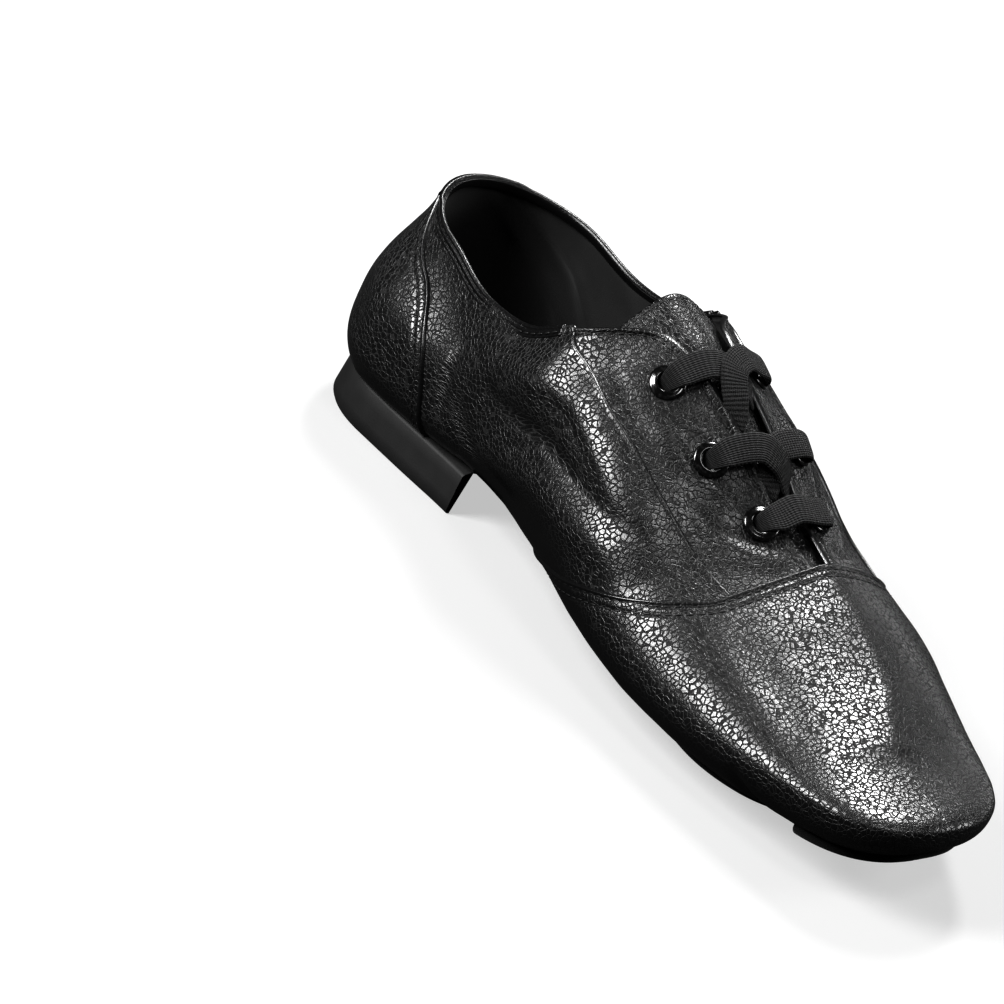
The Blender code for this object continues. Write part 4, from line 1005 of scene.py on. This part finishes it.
# Stops at an eyelet, as steps from its place and its seat: along, height, lift, and the half width there
AT_EYELET = ((0.0, -0.014, -0.0036, 0.0018), (0.0, -0.006, -0.0004, 0.0022), (0.001, 0.016, 0.0014, 0.0031),
             (0.002, 0.050, 0.0016, 0.0039))
OVER_EYELET = ((0.0, -0.020, -0.0032, 0.0016), (0.0, -0.036, 0.0004, 0.0028), (0.0, -0.018, 0.0024, 0.0037),
               (0.002, 0.040, 0.0022, 0.0040))
EDGE_HEIGHT = 0.985


def eyelet_end(side, along, height, seat):
    """The stops at an eyelet: out of the hole and over the ring, which on the lateral side it hides."""
    steps = OVER_EYELET if side == LATERAL else AT_EYELET
    return [(side, along + ahead, min(height + up, EDGE_HEIGHT), seat + lift, half)
            for ahead, up, lift, half in steps]


def throat_stops(side, along, steps):
    """Stops that cross the throat, given from the eyelet's place: which side, along, height, lift, half width."""
    return [(side * own, along + ahead, height, lift, half) for own, ahead, height, lift, half in steps]


for level, (along, height), over in (("top", EYELETS[0], LATERAL), ("middle", EYELETS[1], MEDIAL)):
    strands = []
    for side in (MEDIAL, LATERAL):
        raised = 0.0012 if side == over else 0.0
        stops = eyelet_end(side, along, height, eyelet_seats[side, level])
        stops += throat_stops(side, along, (
            (1, 0.010, 1.40, 0.0010 + raised, 0.0040), (1, 0.019, 1.97, 0.0005 + raised, 0.0040)))
        if level == "top" and side == LATERAL:
            end = ((-1, 0.036, 1.60, raised / 2, 0.0037), (-1, 0.056, 1.25, -0.0012, 0.0034),
                   (-1, 0.068, 0.99, -0.0027, 0.0028))
        else:
            end = ((-1, 0.030, 1.45, -0.0004 + raised / 2, 0.0037), (-1, 0.040, 1.12, -0.0016, 0.0032),
                   (-1, 0.046, 0.99, -0.0026, 0.0028))
        stops += throat_stops(side, along, end)
        strands.append(lace_strand(f"lace_{level}_{side}", stops))
    bpy.ops.object.select_all(action="DESELECT")
    for strand in strands:
        strand.select_set(True)
    bpy.context.view_layer.objects.active = strands[0]
    bpy.ops.object.join()
    strands[0].name = strands[0].data.name = f"lace_{level}"
    finish_piece(strands[0], cotton, "lace_cotton", f"lace_cross_{level}")
along, height = EYELETS[-1]
near, far = (eyelet_end(side, along, height, eyelet_seats[side, "bottom"]) for side in (MEDIAL, LATERAL))
bar = lace_strand("lace_bottom", near + [(MEDIAL, along, 1.97, 0.0019, 0.0040)] + far[::-1])
finish_piece(bar, cotton, "lace_cotton", "lace_bar")

# The stitches: a thick black thread, lockstitched, so that each stitch shows as a short rounded bead lying in
# its row's groove. One stitch is modelled and copied along every row.
thread, tree, shader, place = new_material("black thread")
two_tone(tree, shader, noise_of(tree, place, 3000.0, 2.0), 0.006, 0.018)

bpy.ops.mesh.primitive_uv_sphere_add(segments=8, ring_count=6, radius=1)
one_stitch = bpy.context.object
one_stitch.data.transform(Matrix.Diagonal((STITCH_LENGTH / 2, STITCH_WIDTH / 2, STITCH_HEIGHT / 2, 1)))
stitch_points = np.array([vertex.co for vertex in one_stitch.data.vertices])
stitch_faces = [tuple(face.vertices) for face in one_stitch.data.polygons]
bpy.data.objects.remove(one_stitch)


def sew(name, rows, slot="black_leather", sunk=0.00005):
    """The stitches of some rows as one mesh, each lying in the groove that its row pulls."""
    points, faces = [], []
    for line, normal, lift in rows:
        if lift:
            line = line + normal * (lift + relief(line))[:, None]
        run = run_of(line)
        middles = np.arange(STITCH_PITCH / 2, run[-1], STITCH_PITCH)
        at, before, after, up = (
            np.stack([np.interp(middles + shift, run, values[:, k]) for k in range(3)], 1)
            for values, shift in ((line, 0), (line, -STITCH_PITCH / 3), (line, STITCH_PITCH / 3), (normal, 0)))
        ahead = unit(after - before)
        across = unit(np.cross(up, ahead))
        up = np.cross(ahead, across)
        for a, b, c, d in zip(ahead, across, up, at + up * (STITCH_HEIGHT / 2 - sunk)):
            faces += [tuple(i + len(points) for i in face) for face in stitch_faces]
            points += list(stitch_points @ np.stack([a, b, c]) + d)
    mesh = bpy.data.meshes.new(name)
    mesh.from_pydata(points, [], faces)
    piece = bpy.data.objects.new(name, mesh)
    bpy.context.collection.objects.link(piece)
    return finish_piece(piece, thread, slot)


sew("counter_stitches", counter_rows)
sew("vamp_stitches", vamp_rows)
sew("facing_stitches", facing_rows)
sew("under_stitches", under_rows)
sew("pad_stitches", pad_rows, "pad_suede")
binding_line = rim_points + rim_normal * BINDING_ROW[0] + rim_up * BINDING_ROW[1]
sew("binding_stitches", [(binding_line, rim_normal, 0.0)], "edge_leather")
tongue_normal = unit(np.cross(np.gradient(tongue_rows, axis=0), np.gradient(tongue_rows, axis=1)))
tongue_normal *= np.sign(tongue_normal[-3, len(tongue_normal[0]) // 2, 2])
tongue_line = blend(tongue_rows[-3], tongue_rows[-2], 0.5)[1:-1]
sew("tongue_stitches", [(tongue_line, tongue_normal[-3][1:-1], 0.0)], sunk=0.0002)

# The stage: a pale paper floor and five plain soft boxes of light, behind the toes, at both sides, above, and
# one low strip. The paper shines only towards the camera, so that the leather's dark parts stay dark.
FLOOR_SIZE = 4.0
bpy.ops.mesh.primitive_plane_add(size=FLOOR_SIZE)
floor = bpy.context.object
floor.name = "floor"
floor_paper, tree, paper, _ = new_material("studio paper", 0.9)
paper.inputs["Base Color"].default_value = (0.14, 0.14, 0.14, 1)
paper.inputs["Emission Color"].default_value = (1, 1, 1, 1)
paper.inputs["Emission Strength"].default_value = 0.64
shaded = add_node(tree, "ShaderNodeBsdfDiffuse", Color=(0.035, 0.035, 0.035, 1))
seen = tree.nodes.new("ShaderNodeLightPath")
either = add_node(tree, "ShaderNodeMixShader", i0=seen.outputs["Is Camera Ray"],
                  i1=shaded.outputs[0], i2=paper.outputs[0])
tree.links.new(either.outputs[0], tree.nodes["Material Output"].inputs["Surface"])
floor.data.materials.append(floor_paper)

world = bpy.data.worlds.new("studio")
bpy.context.scene.world = world
world.use_nodes = True
world.node_tree.nodes["Background"].inputs["Color"].default_value = (1, 1, 1, 1)
world.node_tree.nodes["Background"].inputs["Strength"].default_value = 0.05
bpy.context.scene.view_settings.view_transform = "Standard"
bpy.context.scene.view_settings.gamma = 0.68


def softbox(name, bearing, rise, distance, size, brightness):
    """A soft box of this brightness, hung in a direction from the shoe and turned to it."""
    bearing, rise = math.radians(bearing), math.radians(rise)
    level = math.cos(rise)
    place = Vector((math.cos(bearing) * level, math.sin(bearing) * level, math.sin(rise))) * distance
    bpy.ops.object.light_add(type="AREA", location=place)
    lamp = bpy.context.object
    lamp.name = name
    lamp.data.shape = "RECTANGLE"
    lamp.data.size, lamp.data.size_y = size
    lamp.data.energy = brightness * math.pi * size[0] * size[1]
    lamp.rotation_euler = (-place).to_track_quat("-Z", "Y").to_euler()


softbox("behind the toes", 40, 53, 1.3, (0.20, 0.44), 72)
softbox("inner side", 154, 40, 1.2, (0.44, 0.74), 33)
softbox("above", -100, 64, 1.2, (0.26, 0.26), 20)
softbox("low strip", 18, 12, 1.5, (0.8, 0.08), 13)
softbox("outer side", -30, 30, 1.4, (0.40, 0.50), 16)

camera_place = Vector((-1.0775 + CENTRE_OUT, -0.9407, 0.7913))
forward = Vector((0.64295, 0.59967, -0.47646)).normalized()
image_right = Vector((0.761, -0.573, 0.306))
image_right = (image_right - forward * image_right.dot(forward)).normalized()
image_up = image_right.cross(forward)
bpy.ops.object.camera_add(location=camera_place)
camera = bpy.context.object
camera.rotation_euler = Matrix((image_right, image_up, -forward)).transposed().to_euler()
camera.data.sensor_width = 36
camera.data.lens = 230.8
camera.data.clip_start, camera.data.clip_end = 0.05, 20
bpy.context.scene.camera = camera
